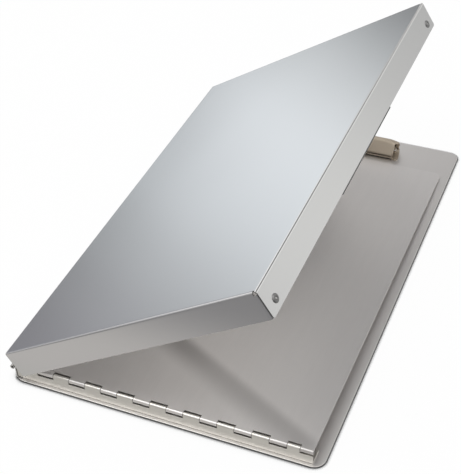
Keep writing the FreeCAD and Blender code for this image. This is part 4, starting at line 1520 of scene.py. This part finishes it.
@dataclass
class SpringClip:
    """Paper clip on the far part of the base: a fixed leaf, a sprung jaw, their pin and the spring.

    Attributes:
        middle_x: Middle of the clip.
        pin_y: Place of its pin.
        pin_z: Height of its pin.
        pin: Radius of its pin.
        half_length: Half the length of its front.
        back_half: Half the length of the jaw's back.
        sheet: Thickness of both leaves.
        edge: Rounding of their edges.
        curl_radius: Radius of the middle of a rolled knuckle.
        curl_steps: Facets of a knuckle.
        clear: How far from the pin the other leaf is cut back.
        knuckle: Length of the jaw's end knuckles.
        gap: Space between the knuckles of the two leaves.
        front: Front edge from the pin.
        top: Upper face from the pin.
        back_bend: Radius of the bend from the jaw's top to its back.
        foot: Middle of the foot from the pin.
        lip_bend: Radius of the bend from the fixed lip to the foot.
        foot_bend: Radius of the bend from the foot to the upright.
        droop: How far the jaw's top comes down at the ends of its back.
        droop_start: How far from the middle it starts to come down.
        droop_from: Height from the pin above which it comes down.
        droop_power: Power by which it comes down ever faster.
        ear_overlap: How far the foot's ears reach in under the front.
        ear_turn: Radius of their upturned back.
        spring_half: Half the length of the spring's zone.
        coil: Radius of the middle of the spring's wire round the pin.
        coil_turns: Number of its turns.
        coil_spacing: From one turn to the next.
        coil_steps: Points on a turn.
        wire: Radius of its wire.
        leg: Length of its legs.
    """

    middle_x: float = -0.125
    pin_y: float = 175.17
    pin_z: float = 5.6
    pin: float = 1.0
    half_length: float = 64.0
    back_half: float = 66.3
    sheet: float = 0.9
    edge: float = 0.12
    curl_radius: float = 1.48
    curl_steps: int = 24
    clear: float = 2.23
    knuckle: float = 20.0
    gap: float = 0.3
    front: float = -11.62
    top: float = 8.2
    back_bend: float = 2.5
    foot: float = -4.15
    lip_bend: float = 0.6
    foot_bend: float = 0.8
    droop: float = 2.1
    droop_start: float = 57.0
    droop_from: float = 4.0
    droop_power: float = 1.8
    ear_overlap: float = 0.4
    ear_turn: float = 1.2
    spring_half: float = 12.0
    coil: float = 1.5
    coil_turns: int = 10
    coil_spacing: float = 2.2
    coil_steps: int = 16
    wire: float = 0.4
    leg: float = 5.0

    def build(self, shop: Workshop) -> None:
        """Build the clip.

        Args:
            shop: Where pieces are finished.
        """
        self._jaw(shop)
        self._leaf(shop)
        place = self._frame() @ Matrix.Translation((-self.half_length, 0, 0)) @ TO_RIGHT
        build_pin(shop, "clip_axle", "clip_pin", SHADED_CLIP_AXLE, self.pin, 2 * self.half_length, place)
        self._spring(shop)

    def _frame(self) -> Matrix:
        """Brings a point drawn about the clip's pin into the frame."""
        return Matrix.Translation((self.middle_x, self.pin_y, self.pin_z))

    def _rows(self, stations: Sequence[float], section: Section) -> list[list[Vector]]:
        """Rows of points of a section, laid at places along the clip from its middle."""
        frame_of_clip = self._frame()
        return [[frame_of_clip @ Vector((x, y, z)) for y, z in section(x)] for x in stations]

    def _jaw(self, shop: Workshop) -> None:
        """Build the jaw: lip, sloping front, rounded top, back and the two end knuckles.

        Args:
            shop: Where pieces are finished.
        """
        lip = [(self.front, -1.35), (self.front, -0.55)]
        slope = [(self.front + 0.12, -0.15), (self.front + 1.2, 1.1), (-7.2, 4.8), (-5.5, 6.75)]
        crown = [(-4.9, 7.45), (-4.2, 7.95), (-3.1, self.top), (-1.2, self.top)]
        bend_centre = (self.curl_radius - self.back_bend, self.top - self.back_bend)
        back = arc(bend_centre, self.back_bend, 90, 0, 8)[1:] + [(self.curl_radius, self.clear)]
        curl = arc((0.0, 0.0), self.curl_radius, 0, -305, self.curl_steps)
        outline = lip + slope + crown + back
        shown = len(lip + slope + crown) - 2

        def section(x: float) -> list[Point]:
            """Section of the jaw, whose top comes down towards the ends of its back.

            Args:
                x: Place along the clip from its middle.

            Returns:
                The section's points.
            """
            beyond = max(abs(x) - self.droop_start, 0.0) / (self.back_half - self.droop_start)
            share = self.droop * beyond ** self.droop_power / (self.top - self.droop_from)
            return [(y, z - share * max(z - self.droop_from, 0.0)) for y, z in outline] + curl

        ends = [self.back_half, self.back_half - 0.8, 65.0, self.half_length, 61.0, 58.0, 52.0]
        edge = self.half_length - self.knuckle
        stations = sorted([*ends, edge, *spaced(-36.0, 36.0, 6), -edge, *(-end for end in ends)])

        def keep(row: int, column: int) -> bool:
            """Say whether there is sheet after a row and a column.

            Args:
                row: Number of the row.
                column: Number of the column.

            Returns:
                True where a face is made.
            """
            middle = abs(stations[row] + stations[row + 1]) / 2
            if middle > self.half_length:
                return shown <= column < len(outline) - 1
            return column < len(outline) - 1 or middle > edge

        mesh = bmesh.new()
        surface(mesh, self._rows(stations, section), keep)
        strap = [(self.curl_radius, self.clear), (1.75, 0.9), (2.15, -0.5), (2.5, -1.8)]
        for way in (-1, 1):
            surface(mesh, self._rows([way * x for x in spaced(self.half_length, self.back_half, 2)],
                                     lambda x: strap))
        piece = shop.piece("clip_lever", mesh, CLIP_METAL, Body.JAW, ["clip_jaw"])
        thicken(piece, self.sheet)
        soften(piece, self.edge)

    def _leaf(self, shop: Workshop) -> None:
        """Build the fixed leaf: front lip, foot, upright and the middle knuckle.

        Args:
            shop: Where pieces are finished.
        """
        side = -self.curl_radius
        flat = [(self.front, -2.45), (self.front, self.foot + 0.7)]
        flat += arc((self.front + self.lip_bend, self.foot + self.lip_bend), self.lip_bend, 180, 270, 4)[1:]
        flat += [(-8.0, self.foot), (-4.0, self.foot)]
        flat += arc((side - self.foot_bend, self.foot + self.foot_bend), self.foot_bend, -90, 0, 5)
        flat += [(side, -self.clear)]
        curl = arc((0.0, 0.0), self.curl_radius, 180, -115, self.curl_steps)
        edge = self.half_length - self.knuckle - self.gap
        stations = sorted([self.half_length, edge, self.spring_half, -self.spring_half, -edge,
                           -self.half_length, *spaced(-58.0, 58.0, 5)])

        def keep(row: int, column: int) -> bool:
            """Say whether there is sheet after a row and a column, and no notch."""
            middle = abs(stations[row] + stations[row + 1]) / 2
            return column < len(flat) - 1 or self.spring_half < middle < edge

        mesh = bmesh.new()
        surface(mesh, self._rows(stations, lambda x: flat + curl), keep)
        self._ears(mesh)
        piece = shop.piece("clip_leaf", mesh, CLIP_METAL, Body.BASE, ["clip_base"])
        thicken(piece, self.sheet)
        soften(piece, self.edge)

    def _ears(self, mesh: Mesh) -> None:
        """Add the foot's rounded ends, which stand out beside the jaw and turn up behind it.

        Args:
            mesh: The fixed leaf's mesh.
        """
        outline = [(-12.9, 66.4), (-12.5, 67.4), (-11.7, 68.2), (-10.2, 68.7), (-8.0, 68.7), (-4.0, 68.1),
                   (0.0, 67.3), (2.7, 66.7)]
        back_y, back_end = outline[-1]
        rows = [(y, self.foot, end) for y, end in outline]
        rows += [(y, z, back_end - 0.1)
                 for y, z in arc((back_y, self.foot + self.ear_turn), self.ear_turn, -70, 0, 4)]
        start = self.half_length - self.ear_overlap
        for way in (-1, 1):
            surface(mesh, [[self._frame() @ Vector((way * x, y, z)) for x in spaced(start, end, 2)]
                           for y, z, end in rows])

    def _spring(self, shop: Workshop) -> None:
        """Build the torsion spring with its two legs.

        Args:
            shop: Where pieces are finished.
        """
        start = -self.coil_turns * self.coil_spacing / 2
        line = [Vector((start, -self.leg, -self.coil)), Vector((start, -self.leg / 2, -self.coil))]
        for step in range(self.coil_turns * self.coil_steps + 1):
            turns = step / self.coil_steps
            angle = 2 * math.pi * turns
            line.append(Vector((start + self.coil_spacing * turns, self.coil * math.sin(angle),
                                -self.coil * math.cos(angle))))
        line += [Vector((-start, self.leg / 2, -self.coil)), Vector((-start, self.leg, -self.coil))]
        frame_of_clip = self._frame()
        mesh = bmesh.new()
        tube(mesh, [frame_of_clip @ point for point in line], self.wire)
        shop.piece("clip_coil", mesh, SPRING_STEEL, Body.BASE, ["clip_spring"])


# Rivets

# Points of a blind rivet's tail: shares of its radius and of its length.
TAIL_SHARES = ((0.92, 0.8), (1.0, 0.45), (0.9, 0.0))
# Points of its eye: shares of the eye's radius, of the head's height and of the eye's depth.
EYE_SHARES = ((1.12, 0.97, 0.0), (1.0, 0.80, 0.0), (0.96, 1.0, 1.5), (0.62, 1.0, 1.6), (0.50, 1.0, 0.9),
              (0.0, 1.0, 0.75))
# Where a head's dome starts: a share of its height, and degrees.
RIM_SHARE = 0.16
DOME_START = 12
# Where it ends round an eye, as a share of the eye's radius.
DOME_END_SHARE = 1.5
# Powers that make the dome fuller than a ball's, across and up.
FULLNESS = (0.9, 0.8)


@dataclass(frozen=True)
class RivetForm:
    """Shape of a rivet.

    Attributes:
        head: Radius of its head.
        dome: Height of its head.
        shank: Radius of its shank.
        grip: How deep its shank goes.
        eye: Radius of the dimple in a blind rivet's head.
        eye_depth: Depth of that dimple.
        tail: Radius of a blind rivet's bulged tail.
        tail_length: Length of that tail.
    """

    head: float
    dome: float
    shank: float
    grip: float
    eye: float = 0.0
    eye_depth: float = 0.0
    tail: float = 0.0
    tail_length: float = 0.0

    def profile(self) -> list[Point]:
        """Draw the rivet's section.

        Returns:
            Radius and height from the shank's end to the head's crown.
        """
        lower = [(0.0, -self.grip), (self.shank, -self.grip)]
        if self.tail:
            end = -self.grip - self.tail_length
            bulge = [(self.tail * across, -self.grip - self.tail_length * down)
                     for across, down in TAIL_SHARES]
            lower = [(0.0, end), (self.eye, end), *bulge, (self.shank, -self.grip)]
        rim = [(self.shank, 0.0), (self.head, 0.0), (self.head, self.dome * RIM_SHARE)]
        inner = self.eye * DOME_END_SHARE
        turns = [math.radians(turn) for turn in spaced(DOME_START, 90, 8)]
        dome = [(inner + (self.head - inner) * math.cos(turn) ** FULLNESS[0],
                 self.dome * math.sin(turn) ** FULLNESS[1]) for turn in turns[:-1]]
        dome.append((inner, self.dome))
        crown = [(self.eye * across, self.dome * up - self.eye_depth * down)
                 for across, up, down in EYE_SHARES]
        return lower + rim + dome + (crown if self.eye else [])


LEAF_RIVET = RivetForm(head=2.4, dome=0.5, shank=1.2, grip=1.7)
CORNER_RIVET = RivetForm(head=3.175, dome=0.9, shank=1.6, grip=1.6, eye=1.15, eye_depth=0.35, tail=2.2,
                         tail_length=2.4)
MANDREL = RivetForm(head=0.95, dome=0.28, shank=0.8, grip=0.4)


@dataclass
class RivetRow:
    """A row of equal rivets.

    Attributes:
        name: The piece's name.
        replaces: Nodes that it stands for.
        body: The body that it moves with.
        form: The rivets' shape.
        places: Where each rivet's head sits and which way it points.
        finish: The rivets' finish.
        edge: Rounding of their edges.
    """

    name: str
    replaces: Sequence[str]
    body: Body
    form: RivetForm
    places: list[Matrix]
    finish: MetalFinish = RIVET_METAL
    edge: float = 0.04

    def build(self, shop: Workshop) -> None:
        """Build the row.

        Args:
            shop: Where pieces are finished.
        """
        mesh = bmesh.new()
        for place in self.places:
            lathe(mesh, self.form.profile(), place, 32)
        soften(shop.piece(self.name, mesh, self.finish, self.body, self.replaces), self.edge, 2, 50.0)


@dataclass(frozen=True)
class RivetPlan:
    """Where the rivets sit.

    Attributes:
        near_x: Middle of the near hinge and of the clip.
        near_y: Row on the near hinge's foot.
        near_spacing: From one of its rivets to the next.
        foot_top: Height of both hinges' feet.
        foot_x: Row on the side hinge's foot.
        side_y: Middle of the side hinge.
        side_spacing: From one of its rivets to the next.
        wall: Row on the cover's leaf, inwards and up from the pin.
        corner_x: Outer face of the cover's free wall, from the pin.
        corner_y: Half the distance between the blind rivets.
        corner_z: Height of the blind rivets, from the pin.
        mandrel_lift: How far a mandrel's head sits above its rivet's seat.
        clip_y: Row on the clip's foot.
        clip_spacing: From one of its rivets to the next.
        clip_top: Height of the clip's foot.
    """

    near_x: float = -0.125
    near_y: float = -181.22
    near_spacing: float = 48.0
    foot_top: float = 1.8
    foot_x: float = -111.90
    side_y: float = -0.5
    side_spacing: float = 58.0
    wall: Point = (0.98, 5.54)
    corner_x: float = 232.98
    corner_y: float = 178.4
    corner_z: float = -3.05
    mandrel_lift: float = 0.5
    clip_y: float = 168.10
    clip_spacing: float = 44.0
    clip_top: float = 1.9

    def rows(self, cover_place: Matrix) -> list[RivetRow]:
        """Lay out every row of rivets.

        Args:
            cover_place: Brings the closed cover, drawn about its pin, to where it rests.

        Returns:
            The rows.
        """
        at = Matrix.Translation
        along = centred(6, self.side_spacing)
        wall_x, wall_z = self.wall
        near = [at((self.near_x + x, self.near_y, self.foot_top)) for x in centred(4, self.near_spacing)]
        foot = [at((self.foot_x, self.side_y + y, self.foot_top)) for y in along]
        wall = [cover_place @ at((wall_x, y, wall_z)) @ TO_LEFT for y in along]
        corners = [cover_place @ at((self.corner_x, y, self.corner_z)) @ TO_RIGHT
                   for y in (-self.corner_y, self.corner_y)]
        mandrels = [place @ at((0.0, 0.0, self.mandrel_lift)) for place in corners]
        clip = [at((self.near_x + x, self.clip_y, self.clip_top)) for x in centred(3, self.clip_spacing)]
        return [
            RivetRow("near_foot_rivets", ["near_hinge_rivets"], Body.BASE, LEAF_RIVET, near),
            RivetRow("side_foot_rivets", ["side_base_rivets"], Body.BASE, LEAF_RIVET, foot),
            RivetRow("side_wall_rivets", ["side_cover_rivets"], Body.COVER, LEAF_RIVET, wall),
            RivetRow("free_corner_rivets", ["corner_rivets"], Body.COVER, CORNER_RIVET, corners, SHADED_BLIND_RIVET),
            RivetRow("free_corner_mandrels", [], Body.COVER, MANDREL, mandrels, MANDREL_METAL),
            RivetRow("clip_foot_rivets", ["clip_rivets"], Body.BASE, LEAF_RIVET, clip),
        ]


# Studio

BLACK = (0.0, 0.0, 0.0)
WHITE = (1.0, 1.0, 1.0)
CONTACT_SHADE = (0.05, 0.05, 0.05)
PALE_TABLE = (0.8, 0.8, 0.8)


@dataclass(frozen=True)
class Card:
    """A soft-edged card that hangs in the room and shows only in the metal.

    Attributes:
        towards: Direction in which it hangs.
        edge: Cosine of the angle from its middle at which it has faded out.
        full: Cosine of the angle inside which it is at full strength.
        tone: Its colour.
    """

    towards: tuple[float, float, float]
    edge: float
    full: float
    tone: Colour


@dataclass(frozen=True)
class RoomTone:
    """What a polished sheet sees round the room, by direction.

    Attributes:
        stops: Degrees from +X towards +Y, and the colour there.
        above: Colour over the object.
        overhead: Heights of a direction between which that colour comes in.
        cards: In front on the left, the dark corner farther left, behind on the right, straight behind.
    """

    stops: tuple[tuple[float, Colour], ...] = (
        (-180, (0.40, 0.40, 0.41)), (-114, (0.40, 0.395, 0.39)), (-75, (0.295, 0.29, 0.286)),
        (-45, (0.104, 0.104, 0.108)), (-5, (0.13, 0.13, 0.13)), (25, (0.38, 0.38, 0.37)),
        (40, (0.555, 0.555, 0.547)), (47, (0.685, 0.685, 0.673)), (51, (0.667, 0.667, 0.654)),
        (58, (0.46, 0.46, 0.455)), (72, (0.31, 0.31, 0.31)), (111, (0.13, 0.132, 0.137)),
        (120.2, (0.14, 0.144, 0.15)), (125, (0.60, 0.625, 0.64)), (128.5, (0.84, 0.88, 0.915)),
        (134, (0.73, 0.77, 0.803)), (138, (0.52, 0.544, 0.567)), (141, (0.385, 0.395, 0.415)),
        (145, (0.29, 0.29, 0.315)), (160, (0.28, 0.28, 0.308)), (180, (0.40, 0.40, 0.41)))
    above: Colour = (0.96, 0.943, 0.925)
    overhead: Point = (0.18, 0.55)
    cards: tuple[Card, ...] = (
        Card((-0.313, -0.705, 0.636), 0.80, 0.93, (0.60, 0.59, 0.57)),
        Card((-0.60, -0.48, 0.64), 0.935, 0.985, (0.17, 0.167, 0.165)),
        Card((0.50, 0.72, 0.48), 0.90, 0.97, (0.82, 0.81, 0.79)),
        Card((0.06, 0.705, 0.706), 0.935, 0.965, (0.15, 0.155, 0.165)))

    def ring(self) -> bpy.types.NodeTree:
        """Build the group that turns an azimuth into the room's colour.

        Returns:
            The group.
        """
        wiring, given, out = open_group("Room ring", [("Azimuth", "Float")], [("Color", "Color")])
        turn = wiring.math("MULTIPLY_ADD", given.outputs[0], 0.5 / math.pi, 0.5)
        ramp = wiring.node("ShaderNodeValToRGB")
        ramp.color_ramp.interpolation = "EASE"
        elements = ramp.color_ramp.elements
        for degrees, colour in self.stops[1:-1]:
            elements.new(degrees / 360 + 0.5).color = (*colour, 1.0)
        elements[0].color = (*self.stops[0][1], 1.0)
        elements[-1].color = (*self.stops[-1][1], 1.0)
        wiring.feed(ramp.inputs[0], turn)
        wiring.feed(out.inputs[0], ramp.outputs[0])
        return wiring.tree

    def sky(self, wiring: Wiring, ring: bpy.types.NodeTree) -> Socket:
        """Colour that the metal sees above the table, by direction.

        Args:
            wiring: The world's wiring.
            ring: Group with the room's colours.

        Returns:
            The colour's socket.
        """
        way = wiring.node("ShaderNodeTexCoord").outputs["Generated"]
        x, y, z = wiring.parts(way)
        colour = wiring.group(ring, Azimuth=wiring.math("ARCTAN2", y, x)).outputs[0]
        colour = wiring.mix(wiring.between(z, *self.overhead), colour, self.above)
        for card in self.cards:
            nearness = wiring.vector("DOT_PRODUCT", way, Vector(card.towards).normalized())
            colour = wiring.mix(wiring.between(nearness, card.edge, card.full), colour, card.tone)
        return colour


@dataclass(frozen=True)
class Patch:
    """A soft-edged patch of the table that has a colour of its own in the metal.

    Attributes:
        tone: Its colour.
        left: Where it comes in from the left, in metres.
        right: Where it comes in from the right.
        near: Where it comes in from the near side.
        far: Where it comes in from the far side.
    """

    tone: Colour
    left: Point
    right: Point
    near: Point
    far: Point

    def lay(self, wiring: Wiring, x: Socket, y: Socket, around: Socket) -> Socket:
        """Lay the patch over the table's other colours.

        Args:
            wiring: The table's wiring.
            x: Place across the table.
            y: Place along the table.
            around: The other colours.

        Returns:
            The colour's socket.
        """
        mask = wiring.product(wiring.between(x, *self.left), wiring.between(x, *self.right),
                              wiring.between(y, *self.near), wiring.between(y, *self.far))
        return wiring.mix(mask, around, self.tone)


@dataclass(frozen=True)
class Contact:
    """A painted contact shadow: a dark line where the object meets the table.

    Attributes:
        reach: How far it reaches, in millimetres.
        dark: Openness of the table at which it is darkest.
        clear: Openness at which it ends.
        least: Share of the light that is left where it is darkest.
    """

    reach: float
    dark: float
    clear: float
    least: float


@dataclass(frozen=True)
class Table:
    """Pale table that keeps the object's shadow, and what the metal sees of it, in metres.

    Attributes:
        radius: Its radius.
        sides: Sides of its rim.
        pivots: Points from which its left and its right part read the room's colours by direction.
        left_dimming: Span of X over which the left part is dimmed, and the shares of its light.
        middle: Span of X where the left part meets the right.
        patches: The dark patch behind the object and the light one beside it.
        foot: Colour right at the object's near edge.
        foot_share: Share of that colour on the left.
        foot_span: Span of X over which it changes.
        near: Colour close in front of the object.
        near_span: Span of Y where it starts.
        front: Colour farther in front.
        front_span: Span of Y where it starts.
        start: Span of Y where the colours in front of the object start.
        contacts: The painted contact shadows where the object meets the table.
        glow: Share of its colour that is its own light.
    """

    radius: float = 6.0
    sides: int = 48
    pivots: tuple[Point, Point] = ((0.547, -0.637), (-0.397, -0.652))
    left_dimming: tuple[float, ...] = (-1.1, -0.22, 1.0, 0.66)
    middle: Point = (-0.10, 0.10)
    patches: tuple[Patch, ...] = (
        Patch((0.04, 0.04, 0.045), (-0.22, -0.15), (0.22, 0.15), (0.14, 0.19), (0.42, 0.34)),
        Patch((0.70, 0.69, 0.68), (0.118, 0.135), (0.25, 0.20), (0.0, 0.08), (0.36, 0.30)))
    foot: Colour = (0.50, 0.49, 0.47)
    foot_share: float = 0.86
    foot_span: Point = (-0.15, 0.01)
    near: Colour = (0.455, 0.438, 0.424)
    near_span: Point = (-0.199, -0.212)
    front: Colour = (0.20, 0.197, 0.20)
    front_span: Point = (-0.24, -0.32)
    start: Point = (-0.14, -0.19)
    contacts: tuple[Contact, ...] = (Contact(8.0, 0.45, 0.97, 0.50), Contact(2.4, 0.79, 0.99, 0.02))
    glow: float = 0.97

    def build(self, ring: bpy.types.NodeTree) -> None:
        """Lay the table.

        Args:
            ring: Group with the room's colours.
        """
        mesh = bmesh.new()
        rim = arc((0.0, 0.0), self.radius, 0, 360 - 360 / self.sides, self.sides - 1)
        mesh.faces.new([mesh.verts.new(Vector((x, y, 0.0))) for x, y in rim])
        floor = new_object("floor", mesh)
        material = bpy.data.materials.new("pale table")
        material.use_nodes = True
        material.cycles.emission_sampling = "NONE"
        material.node_tree.nodes.clear()
        wiring = Wiring(material.node_tree)
        seen = wiring.node("ShaderNodeLightPath").outputs["Is Camera Ray"]
        shown = wiring.mix(seen, self._tone(wiring, ring), WHITE)
        glow = wiring.node("ShaderNodeEmission")
        wiring.feed(glow.inputs["Color"], wiring.mix(self._light(wiring, seen), CONTACT_SHADE, shown))
        plain = wiring.node("ShaderNodeBsdfDiffuse")
        plain.inputs["Color"].default_value = (*PALE_TABLE, 1.0)
        share = wiring.math("MULTIPLY", shows_backdrop(wiring), self.glow)
        wiring.show(wiring.blend(share, plain, glow))
        floor.data.materials.append(material)
        floor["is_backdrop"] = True

    def _light(self, wiring: Wiring, seen: Socket) -> Socket:
        """Light that is left on the table beside the object, for the camera alone.

        Args:
            wiring: The table's wiring.
            seen: Says whether a ray is the camera's.

        Returns:
            The light's share.
        """
        lines = []
        for contact in self.contacts:
            close = wiring.node("ShaderNodeAmbientOcclusion", samples=8)
            close.inputs["Distance"].default_value = contact.reach * MM
            lines.append(wiring.between(close.outputs["AO"], contact.dark, contact.clear, contact.least, 1.0))
        return wiring.math("MAXIMUM", wiring.product(*lines), wiring.math("SUBTRACT", 1.0, seen))

    def _tone(self, wiring: Wiring, ring: bpy.types.NodeTree) -> Socket:
        """Colour that the metal sees on the table, by the place on the table.

        Args:
            wiring: The table's wiring.
            ring: Group with the room's colours.

        Returns:
            The colour's socket.
        """
        x, y, _ = wiring.parts(wiring.node("ShaderNodeTexCoord").outputs["Object"])
        rounds = []
        for pivot_x, pivot_y in self.pivots:
            azimuth = wiring.math("ARCTAN2", wiring.math("SUBTRACT", y, pivot_y),
                                  wiring.math("SUBTRACT", x, pivot_x))
            rounds.append(wiring.group(ring, Azimuth=azimuth).outputs[0])
        left = wiring.mix(wiring.between(x, *self.left_dimming), BLACK, rounds[0])
        around = wiring.mix(wiring.between(x, *self.middle), left, rounds[1])
        for patch in self.patches:
            around = patch.lay(wiring, x, y, around)
        dim = tuple(self.foot_share * part for part in self.foot)
        foot = wiring.mix(wiring.between(x, *self.foot_span), dim, self.foot)
        near = wiring.mix(wiring.between(y, *self.near_span), foot, self.near)
        front = wiring.mix(wiring.between(y, *self.front_span), near, self.front)
        return wiring.mix(wiring.between(y, *self.start), around, front)


def shows_backdrop(wiring: Wiring) -> Socket:
    """Say which rays see the plain backdrop: those of the camera, of gloss and of glass.

    Args:
        wiring: The wiring of the table or of the world.

    Returns:
        A socket that is 1 for those rays and 0 for the others.
    """
    path = wiring.node("ShaderNodeLightPath")
    seen = wiring.math("MAXIMUM", path.outputs["Is Camera Ray"], path.outputs["Is Glossy Ray"])
    return wiring.math("MAXIMUM", seen, path.outputs["Is Transmission Ray"])


@dataclass(frozen=True)
class Softbox:
    """A square lamp.

    Attributes:
        name: Its name.
        place: Where it hangs, in metres.
        aim: Where it points.
        size: Its side.
        power: Its power in watts.
    """

    name: str
    place: tuple[float, float, float]
    aim: tuple[float, float, float]
    size: float
    power: float

    def build(self) -> None:
        """Hang the lamp."""
        data = bpy.data.lights.new(self.name, "AREA")
        data.shape = "SQUARE"
        data.size = self.size
        data.energy = self.power
        lamp = bpy.data.objects.new(self.name, data)
        lamp.location = self.place
        lamp.rotation_mode = "QUATERNION"
        lamp.rotation_quaternion = (Vector(self.aim) - Vector(self.place)).to_track_quat("-Z", "Y")
        bpy.context.scene.collection.objects.link(lamp)


@dataclass(frozen=True)
class Studio:
    """Table, light, backdrop and camera.

    Attributes:
        aim: Point that the camera looks at.
        distance: From there to the camera.
        azimuth: Degrees that the camera stands to the right of the near side.
        elevation: Degrees that it stands above the table.
        roll: Degrees that it is turned about its own line of sight.
        sensor: Width of its sensor.
        lens: Its focal length.
        clip: Nearest and farthest distance that it sees, in metres.
        tone: Colours of the room.
        table: The table.
        softboxes: The lamps.
        daylight: Strength of the room's own light.
    """

    aim: tuple[float, float, float] = (-10.5, -34.06, 42.56)
    distance: float = 872.19
    azimuth: float = 23.91
    elevation: float = 39.5
    roll: float = -2.43
    sensor: float = 36.0
    lens: float = 85.72
    clip: Point = (0.05, 20.0)
    tone: RoomTone = RoomTone()
    table: Table = Table()
    softboxes: tuple[Softbox, ...] = (
        Softbox("front softbox", (-0.375, -0.43, 1.12), (0.0, -0.19, 0.0), 0.50, 3.0),
        Softbox("left softbox", (-1.42, -0.20, 0.88), (0.0, -0.1, 0.05), 0.9, 0.55))
    daylight: float = 0.95

    def build(self) -> None:
        """Set up the camera, the table, the backdrop and the lamps."""
        bpy.context.scene.view_settings.view_transform = "Standard"
        ring = self.tone.ring()
        self._camera()
        self.table.build(ring)
        self._backdrop(ring)
        for softbox in self.softboxes:
            softbox.build()

    def _camera(self) -> None:
        """Place the camera where the photograph was taken from."""
        azimuth, elevation, roll = (math.radians(turn) for turn in (self.azimuth, self.elevation, self.roll))
        back = Vector((math.sin(azimuth) * math.cos(elevation), -math.cos(azimuth) * math.cos(elevation),
                       math.sin(elevation)))
        right = Vector((math.cos(azimuth), math.sin(azimuth), 0.0))
        up = back.cross(right)
        turned_right = right * math.cos(roll) + up * math.sin(roll)
        turned_up = up * math.cos(roll) - right * math.sin(roll)
        data = bpy.data.cameras.new("camera")
        data.sensor_width = self.sensor
        data.lens = self.lens
        data.clip_start, data.clip_end = self.clip
        camera = bpy.data.objects.new("camera", data)
        place = Matrix((turned_right, turned_up, back)).transposed().to_4x4()
        place.translation = (Vector(self.aim) + back * self.distance) * MM
        camera.matrix_world = place
        bpy.context.scene.collection.objects.link(camera)
        bpy.context.scene.camera = camera

    def _backdrop(self, ring: bpy.types.NodeTree) -> None:
        """Light the room: white for the camera, toned for what the metal shows.

        Args:
            ring: Group with the room's colours.
        """
        world = bpy.data.worlds.new("soft room")
        world.use_nodes = True
        world.node_tree.nodes.clear()
        bpy.context.scene.world = world
        wiring = Wiring(world.node_tree)
        camera_ray = wiring.node("ShaderNodeLightPath").outputs["Is Camera Ray"]
        seen = wiring.node("ShaderNodeBackground")
        wiring.feed(seen.inputs["Color"], wiring.mix(camera_ray, self.tone.sky(wiring, ring), WHITE))
        seen.inputs["Strength"].default_value = 1.0
        soft = wiring.node("ShaderNodeBackground")
        soft.inputs["Color"].default_value = (*WHITE, 1.0)
        soft.inputs["Strength"].default_value = self.daylight
        wiring.show(wiring.blend(shows_backdrop(wiring), soft, seen), "ShaderNodeOutputWorld")


def corners() -> list[list[float]]:
    """The shown object's lowest and highest corners as plain numbers."""
    return [list(corner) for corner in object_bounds()]


def main() -> None:
    """Build and dress every sub-assembly."""
    logging.basicConfig(level=logging.INFO, format="%(name)s: %(message)s")
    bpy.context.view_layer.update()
    Studio().build()
    shop = Workshop()
    BasePlate().build(shop)
    NearHinge().build(shop)
    side = SideHinge()
    side.build(shop)
    CoverPan(side.cover_place).build(shop)
    for row in RivetPlan().rows(side.cover_place):
        row.build(shop)
    LatchStrip(side.cover_place).build(shop)
    SpringClip().build(shop)


if __name__ == "__main__":
    main()
